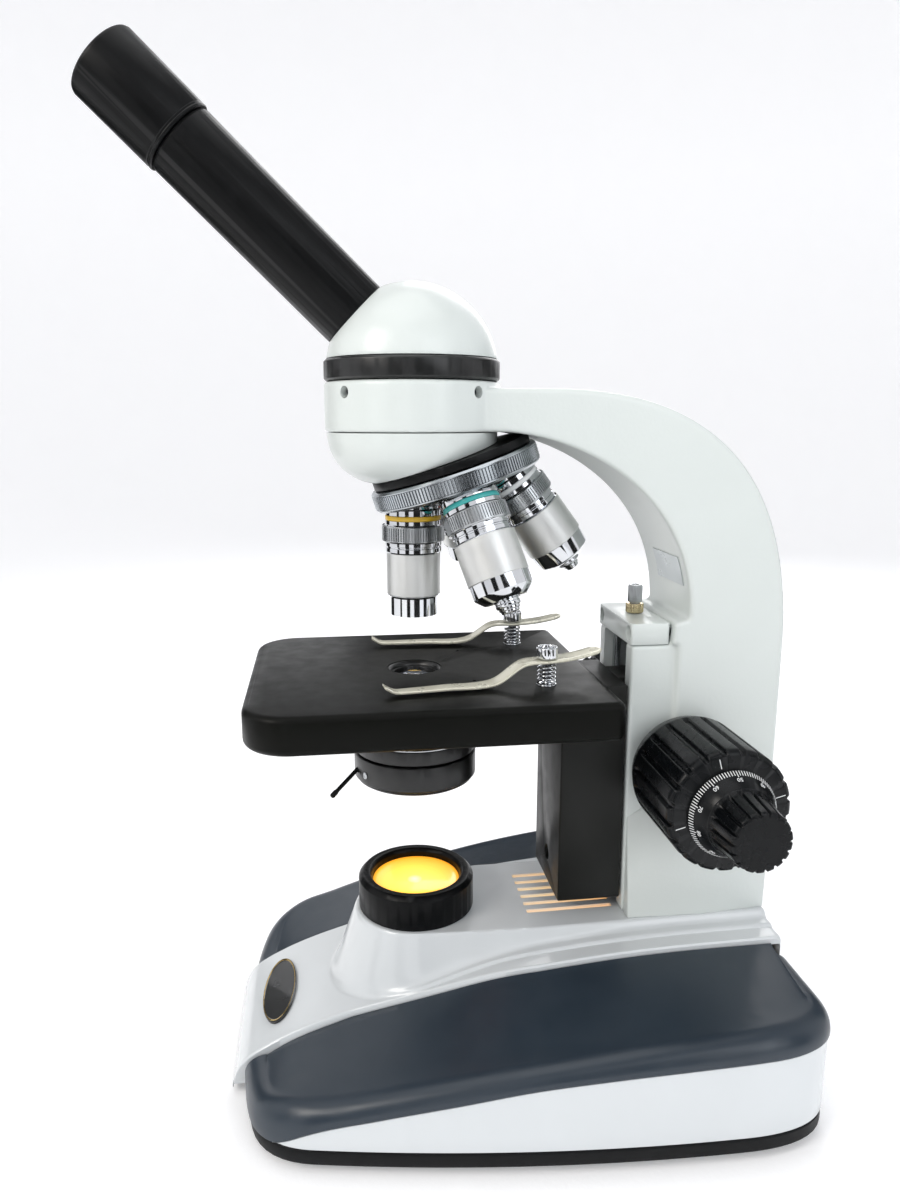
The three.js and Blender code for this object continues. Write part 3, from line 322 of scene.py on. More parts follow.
def hoop(profile, segments=128, wave=None):
    """A closed profile turned round Z, with the axis left open."""
    return lathe(profile, segments, loop=True, wave=wave)


def tube(inner, outer, z0, z1, segments=96):
    return hoop([(inner, z0), (outer, z0), (outer, z1), (inner, z1)], segments)


def rod(radius, z0, z1, segments=48):
    return lathe([(0, z0), (radius, z0), (radius, z1), (0, z1)], segments)


def box(x0, x1, y0, y1, z0, z1):
    verts = [(x, y, z) for x in (x0, x1) for y in (y0, y1) for z in (z0, z1)]
    faces = [(0, 1, 3, 2), (4, 6, 7, 5), (0, 4, 5, 1), (2, 3, 7, 6), (0, 2, 6, 4), (1, 5, 7, 3)]
    return verts, faces


def prism(outline, low, high, axes="xyz"):
    """An outline between two levels. axes names the directions of its two numbers and of the level."""
    count = len(outline)
    order = ["xyz".index(a) for a in axes]
    verts = []
    for level in (low, high):
        for a, b in outline:
            point = [0, 0, 0]
            point[order[0]], point[order[1]], point[order[2]] = a, b, level
            verts.append(tuple(point))
    faces = [tuple(range(count)), tuple(range(2 * count - 1, count - 1, -1))]
    faces += [(k, (k + 1) % count, count + (k + 1) % count, count + k) for k in range(count)]
    return verts, faces


def rounded_rect(x0, x1, y0, y1, radius, back=None, steps=16):
    """A rectangle's outline with rounded corners. The two at y1 may have a radius of their own."""
    back = radius if back is None else back
    points = []
    corners = [(x1 - radius, y0 + radius, -90, radius), (x1 - back, y1 - back, 0, back),
               (x0 + back, y1 - back, 90, back), (x0 + radius, y0 + radius, 180, radius)]
    for x, y, start, size in corners:
        for k in range(steps + 1):
            angle = math.radians(start + 90 * k / steps)
            points.append((x + size * math.cos(angle), y + size * math.sin(angle)))
    return points


def bezier(points, steps=24):
    """Points on the curve with these two, three or four control points, without its first one."""
    order = len(points) - 1
    made = []
    for k in range(1, steps + 1):
        t = k / steps
        weights = [math.comb(order, i) * t**i * (1 - t) ** (order - i) for i in range(order + 1)]
        made.append(tuple(sum(w * p[a] for w, p in zip(weights, points)) for a in (0, 1)))
    return made


def crown(radius, z, rise):
    """The curved face of a lens as a profile, from just inside its rim to just short of its middle."""
    angles = [k / 10 * math.pi / 2 for k in range(1, 10)]
    return [(radius * math.cos(a), z + rise * math.sin(a)) for a in angles]


def together(*shapes):
    verts, faces = [], []
    for more_verts, more_faces in shapes:
        start = len(verts)
        verts += list(more_verts)
        faces += [tuple(i + start for i in f) for f in more_faces]
    return verts, faces


def moved(shape, matrix):
    return [tuple(matrix @ Vector(v)) for v in shape[0]], shape[1]


def shift(x, y, z):
    return Matrix.Translation((x, y, z))


def turn(degrees, axis):
    return Matrix.Rotation(math.radians(degrees), 4, axis)


def net(outside, inside):
    """A closed skin between two nets of points with the same rows and columns."""
    rows, columns = len(outside), len(outside[0])
    verts = [p for row in outside for p in row] + [p for row in inside for p in row]
    faces = []

    def at(side, i, j):
        return side * rows * columns + i * columns + j

    for i in range(rows - 1):
        for j in range(columns - 1):
            faces.append((at(0, i, j), at(0, i + 1, j), at(0, i + 1, j + 1), at(0, i, j + 1)))
            faces.append((at(1, i, j), at(1, i, j + 1), at(1, i + 1, j + 1), at(1, i + 1, j)))
        for j in (0, columns - 1):
            faces.append((at(0, i, j), at(1, i, j), at(1, i + 1, j), at(0, i + 1, j)))
    for j in range(columns - 1):
        for i in (0, rows - 1):
            faces.append((at(0, i, j), at(0, i, j + 1), at(1, i, j + 1), at(1, i, j)))
    return verts, faces


def smooth_along(stations, at):
    """The value at `at` on a smooth line through (place, value) stations."""
    places = [p for p, _ in stations]
    values = [v for _, v in stations]
    if at <= places[0]:
        return values[0]
    if at >= places[-1]:
        return values[-1]
    i = max(k for k in range(len(places) - 1) if places[k] <= at)
    steps = [(values[k + 1] - values[k]) / (places[k + 1] - places[k]) for k in range(len(places) - 1)]

    def slope(k):
        before = steps[max(k - 1, 0)]
        after = steps[min(k, len(steps) - 1)]
        return 0 if before * after < 0 else (before + after) / 2

    width = places[i + 1] - places[i]
    t = (at - places[i]) / width
    bend = (2 * t**3 - 3 * t**2 + 1) * values[i] + (3 * t**2 - 2 * t**3) * values[i + 1]
    return bend + (t**3 - 2 * t**2 + t) * width * slope(i) + (t**3 - t**2) * width * slope(i + 1)


# ---------- making pieces ----------
def final_mesh(obj):
    graph = bpy.context.evaluated_depsgraph_get()
    return bpy.data.meshes.new_from_object(obj.evaluated_get(graph))


def bake(obj):
    mesh = final_mesh(obj)
    obj.modifiers.clear()
    obj.data = mesh


def solid(name, shape):
    verts, faces = shape
    mesh = mesh_of(name, [(x * MM, (y + AXIS_Y) * MM, z * MM) for x, y, z in verts], faces)
    work = bmesh.new()
    work.from_mesh(mesh)
    bmesh.ops.remove_doubles(work, verts=work.verts, dist=1e-7)
    bmesh.ops.recalc_face_normals(work, faces=work.faces)
    work.to_mesh(mesh)
    work.free()
    return linked(name, mesh)


def add_bevel(obj, width, segments=3, angle=30):
    bevel = obj.modifiers.new("edges", "BEVEL")
    bevel.width = width * MM
    bevel.segments = segments
    bevel.limit_method = "ANGLE"
    bevel.angle_limit = math.radians(angle)
    bevel.harden_normals = True
    bevel.use_clamp_overlap = True


def cut(obj, cutters, solver="EXACT"):
    for k, cutter in enumerate(cutters):
        tool = solid(f"cutter_{k}", cutter)
        boolean = obj.modifiers.new(f"cut_{k}", "BOOLEAN")
        boolean.operation = "DIFFERENCE"
        boolean.solver = solver
        boolean.object = tool
        bake(obj)
        bpy.data.objects.remove(tool)


def coat(obj, look):
    obj.data.materials.clear()
    obj.data.materials.append(look)


def piece(name, shape, look, body, stands_for=(), bevel=0.0, cutters=(), crease=35, at=None, segments=3):
    obj = solid(name, moved(shape, at) if at else shape)
    cut(obj, cutters)
    obj.data.shade_smooth()
    if bevel:
        add_bevel(obj, bevel, segments)
        bake(obj)
    obj.data.set_sharp_from_angle(angle=math.radians(crease))
    coat(obj, look)
    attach(obj, body)
    if stands_for:
        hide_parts(*([stands_for] if isinstance(stands_for, str) else stands_for))
    return obj


# A CAD node that keeps its own shape, with rounded edges and a better surface.
def dress(node, look, bevel=0.0):
    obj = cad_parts[node]
    coat(obj, look)
    weld = obj.modifiers.new("weld", "WELD")
    weld.merge_threshold = 1e-6
    if bevel:
        obj.data.shade_smooth()
        add_bevel(obj, bevel, 2)


# ---------- base ----------
PLATEAU_Z = 57.2
COVER_BACK = 138.2
BASE_BACK = 142.2
LOWER_EDGE = [(-62, 9.3), (-56, 10), (-52, 12), (-45, 15.6), (-19, 22.6), (6, 28), (31, 33), (57, 36),
              (83, 37.8), (109, 39)]
SHOULDER = [(-61, 16), (-55, 21), (-32, 26.5), (-6, 32.3), (19, 37.4), (45, 41.4), (80, 45.4), (113, 48)]
INNER_EDGE = [(-61, 15.5), (-51, 21), (-31, 28), (0, 37.5), (29, 46.2), (59, 49.8), (90, 51.6), (140, 52)]
COVER_HALF = [(-28, 30.3), (0, 34.5), (29, 39), (42, 40.3)]
COVER_LINE = [(-73.2, 3.6), (-72.6, 6.5), (-71, 10.4), (-67.5, 14.6), (-62, 18.2), (-56, 21.2), (-50, 23.8),
              (-40, 27.4), (-28, 31), (0, 39.5), (29, 48), (59, 51.6), (90, 53.4), (COVER_BACK, 54)]


def half_plan():
    """The right-hand half of the base's plan, from the middle of its front to the middle of its back."""
    corners = [
        [(0, -69.4), (44, -69), (57, -64)],
        [(57, -64), (69, -59), (72.5, -44)],
        [(72.5, -44), (87, 30), (88, 106)],
        [(88, 106), (88, BASE_BACK - 1), (66, BASE_BACK - 0.6)],
        [(66, BASE_BACK - 0.6), (0, BASE_BACK)],
    ]
    points = [(0, -69.4)]
    for controls in corners:
        points += bezier(controls, 40)
    return points


def plan_points(start, end, count):
    """Points of the half plan with their inward directions, between two shares of its length."""
    path = [Vector(p) for p in half_plan()]
    travelled = [0]
    for a, b in zip(path, path[1:]):
        travelled.append(travelled[-1] + (b - a).length)
    made = []
    for k in range(count + 1):
        goal = travelled[-1] * (start + (end - start) * k / count)
        i = min(max(j for j in range(len(path)) if travelled[j] <= goal + 1e-6), len(path) - 2)
        way = path[i + 1] - path[i]
        at = path[i] + way * ((goal - travelled[i]) / way.length)
        before = path[min(i + 2, len(path) - 1)] - path[max(i - 1, 0)]
        inward = Vector((-before.y, before.x)).normalized()
        made.append((at, inward))
    return made


def mirrored(shape):
    return [(-x, y, z) for x, y, z in shape[0]], shape[1]


# A grey side cover: from the centre cover's edge out to its shoulder, then rolling down to its lower edge.
def wing():
    roll = 8

    def rows(sink):
        made = []
        for at, inward in plan_points(0.0925, 0.8795, 110):
            shoulder = at + inward * roll
            top = smooth_along(SHOULDER, shoulder.y) - sink
            low = smooth_along(LOWER_EDGE, at.y)
            edge = Vector((smooth_along(COVER_HALF, shoulder.y) + 0.3, shoulder.y))
            edge_top = smooth_along(INNER_EDGE, shoulder.y) - sink
            row = [(edge.x, edge.y, edge_top - 2)]
            row += [(edge.x, edge.y, edge_top - 0.5), (edge.x + 0.5, edge.y, edge_top)]
            for part in range(1, 9):
                p = edge.lerp(shoulder, part / 9)
                row.append((p.x, p.y, edge_top + (top - edge_top) * part / 9))
            for k in range(13):
                angle = math.radians(90 * k / 12)
                p = shoulder - inward * ((roll - sink) * math.sin(angle))
                row.append((p.x, p.y, low + 0.8 + (top - low - 0.8) * math.cos(angle)))
            row.append((row[-1][0], row[-1][1], low + 0.25))
            p = at + inward * (sink + 0.3)
            row.append((p.x, p.y, low))
            made.append(row)
        return made

    return net(rows(0), rows(2))


def skirt():
    right = plan_points(0.2, 1, 120)
    left = [(Vector((-p.x, p.y)), Vector((-n.x, n.y))) for p, n in reversed(right[:-1])]

    def rows(inset):
        made = []
        for at, inward in right + left:
            top = smooth_along(LOWER_EDGE, at.y) - 0.5
            levels = [(9.3, inset + 0.9), (9.6, inset + 0.25), (10.3, inset)]
            levels += [(10.3 + (top - 10.3) * k / 4, inset) for k in range(1, 5)]
            places = [(at + inward * i, max(9.3, min(z, max(top, 9.35)))) for z, i in levels]
            made.append([(p.x, p.y, z) for p, z in places])
        return made

    return net(rows(0.6), rows(3.1))


def base_outline(inset):
    right = [at + inward * inset for at, inward in plan_points(0, 1, 90)]
    right[0].x = right[-1].x = 0
    return [tuple(p) for p in right] + [(-p.x, p.y) for p in reversed(right[1:-1])]


def meet(a, b, round_over, higher=True):
    """The higher or lower of two heights, with a rounded corner where they cross."""
    near = max(round_over - abs(a - b), 0) / round_over
    blend = near * near * round_over / 4
    return max(a, b) + blend if higher else min(a, b) - blend


# The white centre cover: a sloping sheet, a low pad on it, and a round hill that runs back as a ridge.
def cover_height(x, y, sheet):
    away = abs(x) if y > 0 else math.hypot(x, y)
    back = min(max((y + 5) / 40, 0), 1)
    top_half = 24.6 + 1.9 * back * back * (3 - 2 * back)
    side = PLATEAU_Z - (away - top_half) * 2.85
    hill = meet(PLATEAU_Z, side, 1.6, higher=False)
    pad_half = 33.5
    step = min(max((pad_half - away) / 1.1, 0), 1)
    pad = sheet + 1.15 * step * step * (3 - 2 * step)
    return meet(hill, pad, 5.5)


def centre_cover():
    line = []
    for y0, y1, count in [(-73.2, -62, 22), (-62, -46, 20), (-46, 30, 110), (30, COVER_BACK - 0.8, 90)]:
        line += [y0 + (y1 - y0) * k / count for k in range(count)]
    line.append(COVER_BACK - 0.8)
    columns = 150

    def rows(sink):
        made = []
        for y in line:
            half = smooth_along(COVER_HALF, y)
            inside = half - sink
            sheet = smooth_along(COVER_LINE, y)
            wall = max(4.2, sheet - 3 - 9 * min(max((-38 - y) / 24, 0), 1))
            row = [(-inside, y, wall + 0.01 * sink)]
            for c in range(columns + 1):
                x = inside * (2 * c / columns - 1)
                lip = 0.7 * max(0, (abs(x) - half + 0.8) / 0.8) ** 2
                row.append((x, y, cover_height(x, y, sheet) - lip - sink))
            row.append((inside, y, wall + 0.01 * sink))
            made.append(row)
        for drop in (0.25, 0.8, 4, 8, 12, 15.5):
            y = COVER_BACK - max(0, 0.8 - drop) * 0.6 - 0.9 * sink / 2.2
            made.append([(x, y, min(z, max(z - drop, 38.6))) for x, _, z in made[len(line) - 1]])
        return made

    return net(rows(0), rows(2.2))


def add_base():
    body = "frame"
    piece("tray", prism(base_outline(0.9), 3.3, 9), TRAY_PLASTIC, body, "base_tray", bevel=0.9)
    for k, (x, y) in enumerate([(54, -48), (-54, -48), (68, 116), (-68, 116)]):
        foot = lathe([
            (0, 0), (7, 0), (7.6, 0.5), (8, 0), (9, 0.8), (9, 3), (2.3, 3), (2.3, 6.5), (0, 6.5),
        ], 64)
        piece(f"foot_{k + 1}", foot, RUBBER, body, f"rubber_foot_{k + 1}", bevel=0.25, at=shift(x, y, 0))
    panel_holes = [box(-32, -2, 130, 150, 12, 34), box(10.5, 30.5, 130, 150, 16, 30)]
    piece("skirt", skirt(), WHITE_PLASTIC, body, "base_skirt", cutters=panel_holes)
    piece("side_cover_right", wing(), GREY_PLASTIC, body, "wing_right", crease=50)
    piece("side_cover_left", mirrored(wing()), GREY_PLASTIC, body, "wing_left", crease=50)
    slots = [box(k * 5.66 - 1.1, k * 5.66 + 1.1, 43, 78, 48, 62) for k in (-2.5, -1.5, -0.5, 0.5, 1.5, 2.5)]
    piece("centre_cover", centre_cover(), WHITE_PLASTIC, body, "base_cover", cutters=[together(*slots)],
          crease=40)
    piece("vent_glow", box(-17, 17, 41, 80, 54.2, 54.7), VENT_GLOW, body)
    tilt = shift(0, -56.35, 21.75) @ turn(25.5, "X") @ Matrix.Diagonal((20.5, 7.4, 1, 1))
    plate = lathe([(0, -0.4), (1, -0.4), (1, 0.35), (0.97, 0.6), (0.93, 0.6), (0.9, 0.3), (0, 0.3)], 96)
    piece("oval_badge", plate, BADGE, body, "base_badge", at=tilt, crease=15)
    trim = hoop([(0.955, 0.55), (0.975, 0.66), (0.935, 0.66), (0.925, 0.55)], 96)
    piece("badge_rim", trim, BRASS, body, at=tilt)
    collar = hoop([
        (18.2, 57.3), (23.24, 57.3), (23.24, 69.4), (21.6, 71.2), (18.9, 71.2), (17.8, 69.8), (17.8, 65),
        (15.6, 65), (15.6, 63.2), (18.2, 63.2),
    ], 128)
    piece("lamp_ring", collar, BLACK_METAL, body, "lamp_collar", bevel=0.35)
    lens = [(0, 65.3), (17.5, 65.3), (17.5, 67.6), *crown(17.5, 67.6, 2.2), (0, 69.8)]
    piece("lamp_lens", lathe(lens, 96), LAMP_LENS, body, "field_lens")
    dress("lamp_bulb", VENT_GLOW)
    dress("lamp_socket", CERAMIC)
    dress("transformer", STEEL, 0.8)
    dress("power_inlet", BLACK_PLASTIC, 0.4)
    dress("switch_rocker", BLACK_PLASTIC, 0.4)
    for k, (x, z) in enumerate([(-17, 26), (-23.5, 20.5), (-10.5, 20.5)]):
        pin = box(x - 1, x + 1, 125.5, 139, z - 2.6, z + 2.6)
        piece(f"inlet_pin_{k + 1}", pin, BRIGHT_STEEL, body, bevel=0.5)


# ---------- arm ----------
HEAD_RADIUS = 31.93
SEAM_Z = 246.5
COLLAR_Z = 264
SCREW_ANGLES = (-52, 40, 174)
CHANNEL_HALF = 13.6
CAP_SCREW_X = 16.6
CAP_SCREW_Z = 171.45
STOP_Y = 88
FOCUS_Y = 100.4
FOCUS_Z = 120.6
CONE_TIP_Z = 278.55
TILT = 18.3
SHOULDER_REACH = 60.3
TUBE_TURN_Z = 267.6
TUBE_TILT = 45.8
POST_X = 30.5
POST_Y = 45


def arm_outline():
    points = [(10, 261.5), (10, SEAM_Z), (31, SEAM_Z)]
    points += bezier([(31, SEAM_Z), (62, 244.5), (102, 222), (102, 177)], 40)
    points += [(96.5, 175.9), (95.6, 167.2), (98, 167.2), (98, 57.5), (138.4, 57.5), (139.8, 66)]
    points.append((140, 168))
    points += bezier([(140, 168), (139, 215), (122, 261.5), (48, 261.5)], 48)
    return points


def hull(points):
    work = bmesh.new()
    for p in points:
        work.verts.new(p)
    made = bmesh.ops.convex_hull(work, input=work.verts)
    unused = [v for v in made["geom_unused"] + made["geom_interior"] if isinstance(v, bmesh.types.BMVert)]
    bmesh.ops.delete(work, geom=unused, context="VERTS")
    work.verts.index_update()
    shape = ([tuple(v.co) for v in work.verts], [tuple(v.index for v in f.verts) for f in work.faces])
    work.free()
    return shape


# A casting: overlapping solids melted into one skin, with every corner a little rounded.
def casting(name, parts, voxel, passes):
    merged = None
    for k, (shape, bevel) in enumerate(parts):
        part = solid(f"{name}_{k}", shape)
        part.data.shade_smooth()
        if bevel:
            add_bevel(part, bevel, 5, 50)
            bake(part)
        if merged is None:
            merged = part
            continue
        work = bmesh.new()
        work.from_mesh(merged.data)
        work.from_mesh(part.data)
        work.to_mesh(merged.data)
        work.free()
        bpy.data.objects.remove(part)
    remesh = merged.modifiers.new("melt", "REMESH")
    remesh.mode = "VOXEL"
    remesh.voxel_size = voxel * MM
    ease = merged.modifiers.new("ease", "SMOOTH")
    ease.factor = 0.5
    ease.iterations = passes
    bake(merged)
    return merged


def settled(obj, name, look, body, nodes, crease=40):
    obj.name = name
    obj.data.shade_smooth()
    obj.data.set_sharp_from_angle(angle=math.radians(crease))
    coat(obj, look)
    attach(obj, body)
    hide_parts(*nodes)


def tilted(z, degrees):
    return shift(0, 0, z) @ turn(degrees, "X")


def add_arm():
    corners = [
        (25.5, 81.3, 57.5), (26.5, 112, 57.5), (24.5, 138.3, 57.5),
        (20.2, 81.3, 98), (22.7, 104, 112), (22.7, 139.6, 74),
    ]
    foot = hull([(side * x, y, z) for x, y, z in corners for side in (-1, 1)])
    channel = box(-CHANNEL_HALF, CHANNEL_HALF, 70, 98.4, 50, 167.6)
    piece("arm_foot", foot, ENAMEL, "frame", bevel=0.7, cutters=[channel], crease=30)
    collar = lathe([(0, SEAM_Z), (HEAD_RADIUS, SEAM_Z), (HEAD_RADIUS, COLLAR_Z), (0, COLLAR_Z)], 160)
    body = casting("arm_casting", [
        (prism(arm_outline(), -22.5, 22.5, "yzx"), 3),
        (box(-20, 20, 80.5, 100, 57.5, 167.1), 1),
        (collar, 0.7),
    ], 0.75, 5)
    turret_room = moved(rod(33.2, -56, -43.2, 96), tilted(CONE_TIP_Z, TILT))
    bores = [moved(rod(2.1, 20, 40), turn(a, "Z") @ shift(0, 0, 260) @ turn(90, "Y")) for a in SCREW_ANGLES]
    bolt_holes = [
        moved(rod(1.9, -102, -90), shift(x, 0, 171.4) @ turn(90, "X")) for x in (-CAP_SCREW_X, CAP_SCREW_X)
    ]
    cut(body, [
        rod(22.4, 250, 300, 96), rod(12, 240, 300, 64), channel,
        box(-CHANNEL_HALF, CHANNEL_HALF, 90, 108, 112.6, 128.6),
        moved(rod(5.4, -40, 40), shift(0, FOCUS_Y, FOCUS_Z) @ turn(90, "Y")),
        turret_room, together(*bores), together(*bolt_holes),
    ], "MANIFOLD")
    settled(body, "arm_casting", ENAMEL, "frame", ["arm"])
    for side, hand in SIDES:
        x0, x1 = sorted((side * 9.4, side * 13.3))
        rail = box(x0, x1, 84, 93.5, 68, 166.6)
        groove = box(min(0, side * 10.8), max(0, side * 10.8), 87.6, 90, 60, 170)
        piece(f"rail_{hand}", rail, BRIGHT_STEEL, "frame", f"guide_rail_{hand}", bevel=0.3,
              cutters=[groove])
    counterbore = lathe([(0, -100), (1.9, -100), (1.9, -88), (2.9, -88), (2.9, -70), (0, -70)], 48)
    bolts = [
        moved(counterbore, shift(x, 0, CAP_SCREW_Z) @ turn(90, "X")) for x in (-CAP_SCREW_X, CAP_SCREW_X)
    ]
    stop_hole = moved(rod(2, 160, 180, 32), shift(0, STOP_Y, 0))
    cap = prism(rounded_rect(-20, 20, 80, 95.2, 1.2), 167.4, 175.5)
    piece("cap_block", cap, ENAMEL, "frame", "top_cap", bevel=0.5, cutters=[*bolts, stop_hole])
    for x, hand in ((CAP_SCREW_X, "right"), (-CAP_SCREW_X, "left")):
        place = shift(x, 0, CAP_SCREW_Z) @ turn(90, "X")
        screw = lathe([(0, -99.8), (1.6, -99.8), (1.6, -87.7), (2.6, -87.7), (2.6, -84.9), (0, -84.9)], 64)
        key = moved(rod(1.3, -86.5, -83, 6), place)
        piece(f"cap_bolt_{hand}", moved(screw, place), STEEL, "frame", f"cap_screw_{hand}", bevel=0.2,
              cutters=[key])
    knurl = ridges(30)
    stop = lathe([
        (0, 166.9), (1.7, 166.9), (1.7, 180), (2.5, 180), (2.8, 180.4, 0.25), (2.8, 186.2, 0.25),
        (2.4, 187), (1.6, 187), (1.4, 186.7), (0, 186.7),
    ], 240, wave=knurl)
    piece("stop_thumbscrew", stop, BRIGHT_STEEL, "stop", "stop_screw", at=shift(0, STOP_Y, 0))
    ring = hoop([
        (2, 175.9), (3.2, 175.9), (3.5, 176.2, 0.25), (3.5, 179.2, 0.25), (3.2, 179.5), (2, 179.5),
    ], 240, wave=knurl)
    piece("stop_knurled_ring", ring, CHAMPAGNE, "stop_lock", "stop_lock_ring", at=shift(0, STOP_Y, 0))
    for k, angle in enumerate(SCREW_ANGLES):
        place = turn(angle, "Z") @ shift(0, 0, 260) @ turn(90, "Y")
        coil = [(0, 22.8), (1.6, 22.8)]
        for i in range(8):
            coil += [(1.85, 23.2 + i * 0.8), (1.5, 23.6 + i * 0.8)]
        screw = lathe(coil + [(1.5, 29.6), (0, 29.6)], 48)
        key = moved(rod(0.9, 27.5, 32, 6), place)
        piece(f"grub_screw_{k + 1}", moved(screw, place), STEEL, "frame", f"head_set_screw_{k + 1}",
              cutters=[key])
    inner = bezier([(31, SEAM_Z), (62, 244.5), (102, 222), (102, 177)], 200)
    curve = [p for p in inner if 189 < p[1] < 200.5]
    front = [[(x, y - 0.35, z - 0.1) for x in (-9, 17)] for y, z in curve]
    back = [[(x, y + 0.6, z) for x in (-9, 17)] for y, z in curve]
    piece("blank_label", net(front, back), LABEL, "frame", crease=60)


def grooves(count, share):
    """1 in each groove and 0 between, with soft shoulders. Grooves take `share` of the way round."""
    def wave(angle):
        phase = (angle * count / (2 * math.pi)) % 1
        away = abs(phase - 0.5)
        t = min(max((share / 2 + 0.07 - away) / 0.14, 0), 1)
        return t * t * (3 - 2 * t)
    return wave


def ridges(count):
    return lambda angle: 0.5 - 0.5 * math.cos(count * angle)


# ---------- nosepiece ----------
def add_nosepiece():
    bowl = [(12, 215), (13.5, 227.5)]
    for k in range(1, 25):
        angle = math.radians(90 * k / 24)
        bowl.append((13.5 + 17.8 * math.sin(angle), 246 - 18.2 * math.cos(angle)))
    bowl += [(31.3, 246.2), (12, 246.2)]
    underside = moved(box(-60, 60, -80, 80, -90, -43.3), tilted(CONE_TIP_Z, TILT))
    piece("bowl", hoop(bowl, 160), ENAMEL, "frame", "nosepiece_housing", bevel=0.5,
          cutters=[underside])
    place = tilted(CONE_TIP_Z, TILT)
    plate = lathe([(0, -53), (4, -53), (4, -46.5), (30.3, -46.5), (30.3, -43.7), (0, -43.7)], 160)
    seats = [turn(90 * k, "Z") @ turn(-TILT, "X") for k in range(4)]
    light = moved(rod(9, -60, -30), seats[0])
    piece("bearing_plate", moved(plate, place), BLACK_METAL, "frame", "nosepiece_plate", bevel=0.3,
          cutters=[moved(light, place)])
    knurl = grooves(165, 0.36)
    rim = hoop([
        (4.4, -47), (30.7, -47), (31.4, -47.15), (32.1, -47.9), (32.1, -48.3), (31.9, -48.35, 0.5),
        (32.2, -48.45, 0.55), (32.2, -53.2, 0.55), (31.9, -53.3, 0.5), (32.1, -53.35), (32.1, -53.8),
        (31.3, -54.6), (29.8, -54.6), (29.8, -51.5), (4.4, -51.5),
    ], 1320, wave=knurl)
    bores = together(*[moved(rod(10.6, -80, -48.3, 64), m) for m in seats])
    piece("turret_rim", moved(rim, place), RIM_SILVER, "turret", "nosepiece_turret",
          cutters=[moved(bores, place)], crease=22)
    widest = math.asin(29.7 / 60)
    cone = [(0, -51.8), (29.7, -51.8)]
    angles = [widest * (1 - k / 16) for k in range(17)]
    cone += [(60 * math.sin(a), -60 * math.cos(a)) for a in angles]
    cone[-1] = (0, -60)
    piece("turret_underside", moved(lathe(cone, 128), place), DARK_GREEN, "turret", bevel=0.3,
          cutters=[moved(bores, place)])
    hub = lathe([(0, -60), (4.6, -59.9), (4.6, -60.7), (3.8, -61.2), (0, -61.2)], 64)
    piece("turret_hub", moved(hub, place), CHROME, "turret", bevel=0.2)
    long_chrome = [(11, -31.7), (11, -36.3), (10.7, -36.8), (8.6, -38.9), (8, -39.4), (6.2, -39.6)]
    add_objective("objective_10x", place @ seats[0], YELLOW, 10.1, -32.3,
                  [(10, -32.5), (9.3, -32.9), (9, -33.4), (9, -40.1)], 4.5)
    add_objective("objective_40x", place @ seats[1], TURQUOISE, 11.3, -31.5, long_chrome, 4.9)
    add_objective("objective_100x", place @ seats[2], WHITE_MARK, 11.3, -31.5,
                  [(11, -31.7), (10.4, -37.4), (10, -37.8), (7, -39.4), (6.2, -39.6)], 4.9)
    add_objective("objective_4x", place @ seats[3], RED, 10.1, -22,
                  [(10, -22.2), (9.2, -22.6), (9, -23), (9, -29)], 6)
    add_tip("tip_40x", "front_40x", place @ seats[1], 3.4)
    add_tip("tip_100x", "front_100x", place @ seats[2], 2.6)


# An objective hangs along -Z from its shoulder, SHOULDER_REACH from the cone's tip.
def add_objective(name, place, band, barrel, barrel_end, nose, bore):
    seat = place @ shift(0, 0, -SHOULDER_REACH)
    top = -16.4
    core = [(bore, 4.5), (9.9, 4.5), (9.9, 0.3), (10.4, 0.1), (10.6, -0.3), (10.6, -2.2), (10.3, -2.4),
            (10.3, -4), (10.6, -4.2), (10.6, -5.6), (10.9, -6), (10.9, -12.1), (10.6, -12.4), (10.6, -13.6),
            (10.2, -13.8), (10.2, -14.3), (10.5, -14.5), (10.5, -15.9), (10.1, top)]
    core += [(barrel - 0.3, top), (barrel - 0.3, barrel_end)] + nose + [(bore, nose[-1][1])]
    piece(name + "_core", hoop(core, 160), CHROME, "turret", name, at=seat, crease=25)
    piece(name + "_band", tube(10.2, 10.55, -4, -2.4, 160), band, "turret", at=seat, bevel=0.15)
    grip = hoop([
        (10.8, -6), (11.6, -6), (11.8, -6.3), (11.8, -6.6), (11.8, -6.65, 0.5), (11.8, -11.35, 0.5),
        (11.8, -11.4), (11.8, -11.7), (11.6, -12), (10.8, -12),
    ], 576, wave=grooves(72, 0.36))
    piece(name + "_grip", grip, BRIGHT_STEEL, "turret", at=seat, crease=22)
    sleeve = [(barrel - 0.4, top), (barrel - 0.25, top), (barrel, top - 0.25), (barrel, barrel_end + 0.25),
              (barrel - 0.25, barrel_end), (barrel - 0.4, barrel_end)]
    piece(name + "_sleeve", hoop(sleeve, 160), SILVER, "turret", at=seat)
    if barrel < 11:
        low = nose[-1][1]
        inside = lathe([(0, low + 2.4), (bore, low + 3), (bore, low + 4), (0, low + 4)], 64)
        piece(name + "_front_lens", inside, GLASS, "turret", at=seat)


def add_tip(node, body, place, radius):
    tip = lathe([
        (0, -34), (4.5, -34), (4.5, -40.6), (4.65, -40.8), (4.65, -41.2), (radius + 1.1, -41.9),
        (radius + 0.5, -42.1), (radius + 0.5, -43), (radius, -43.2), (radius, -44), (radius - 0.3, -44.2),
        (1.4, -44.2), (1.2, -43.9), (0, -43.9),
    ], 96)
    piece(node + "_nose", tip, CHROME, body, node, at=place @ shift(0, 0, -SHOULDER_REACH),
          bevel=0.12)


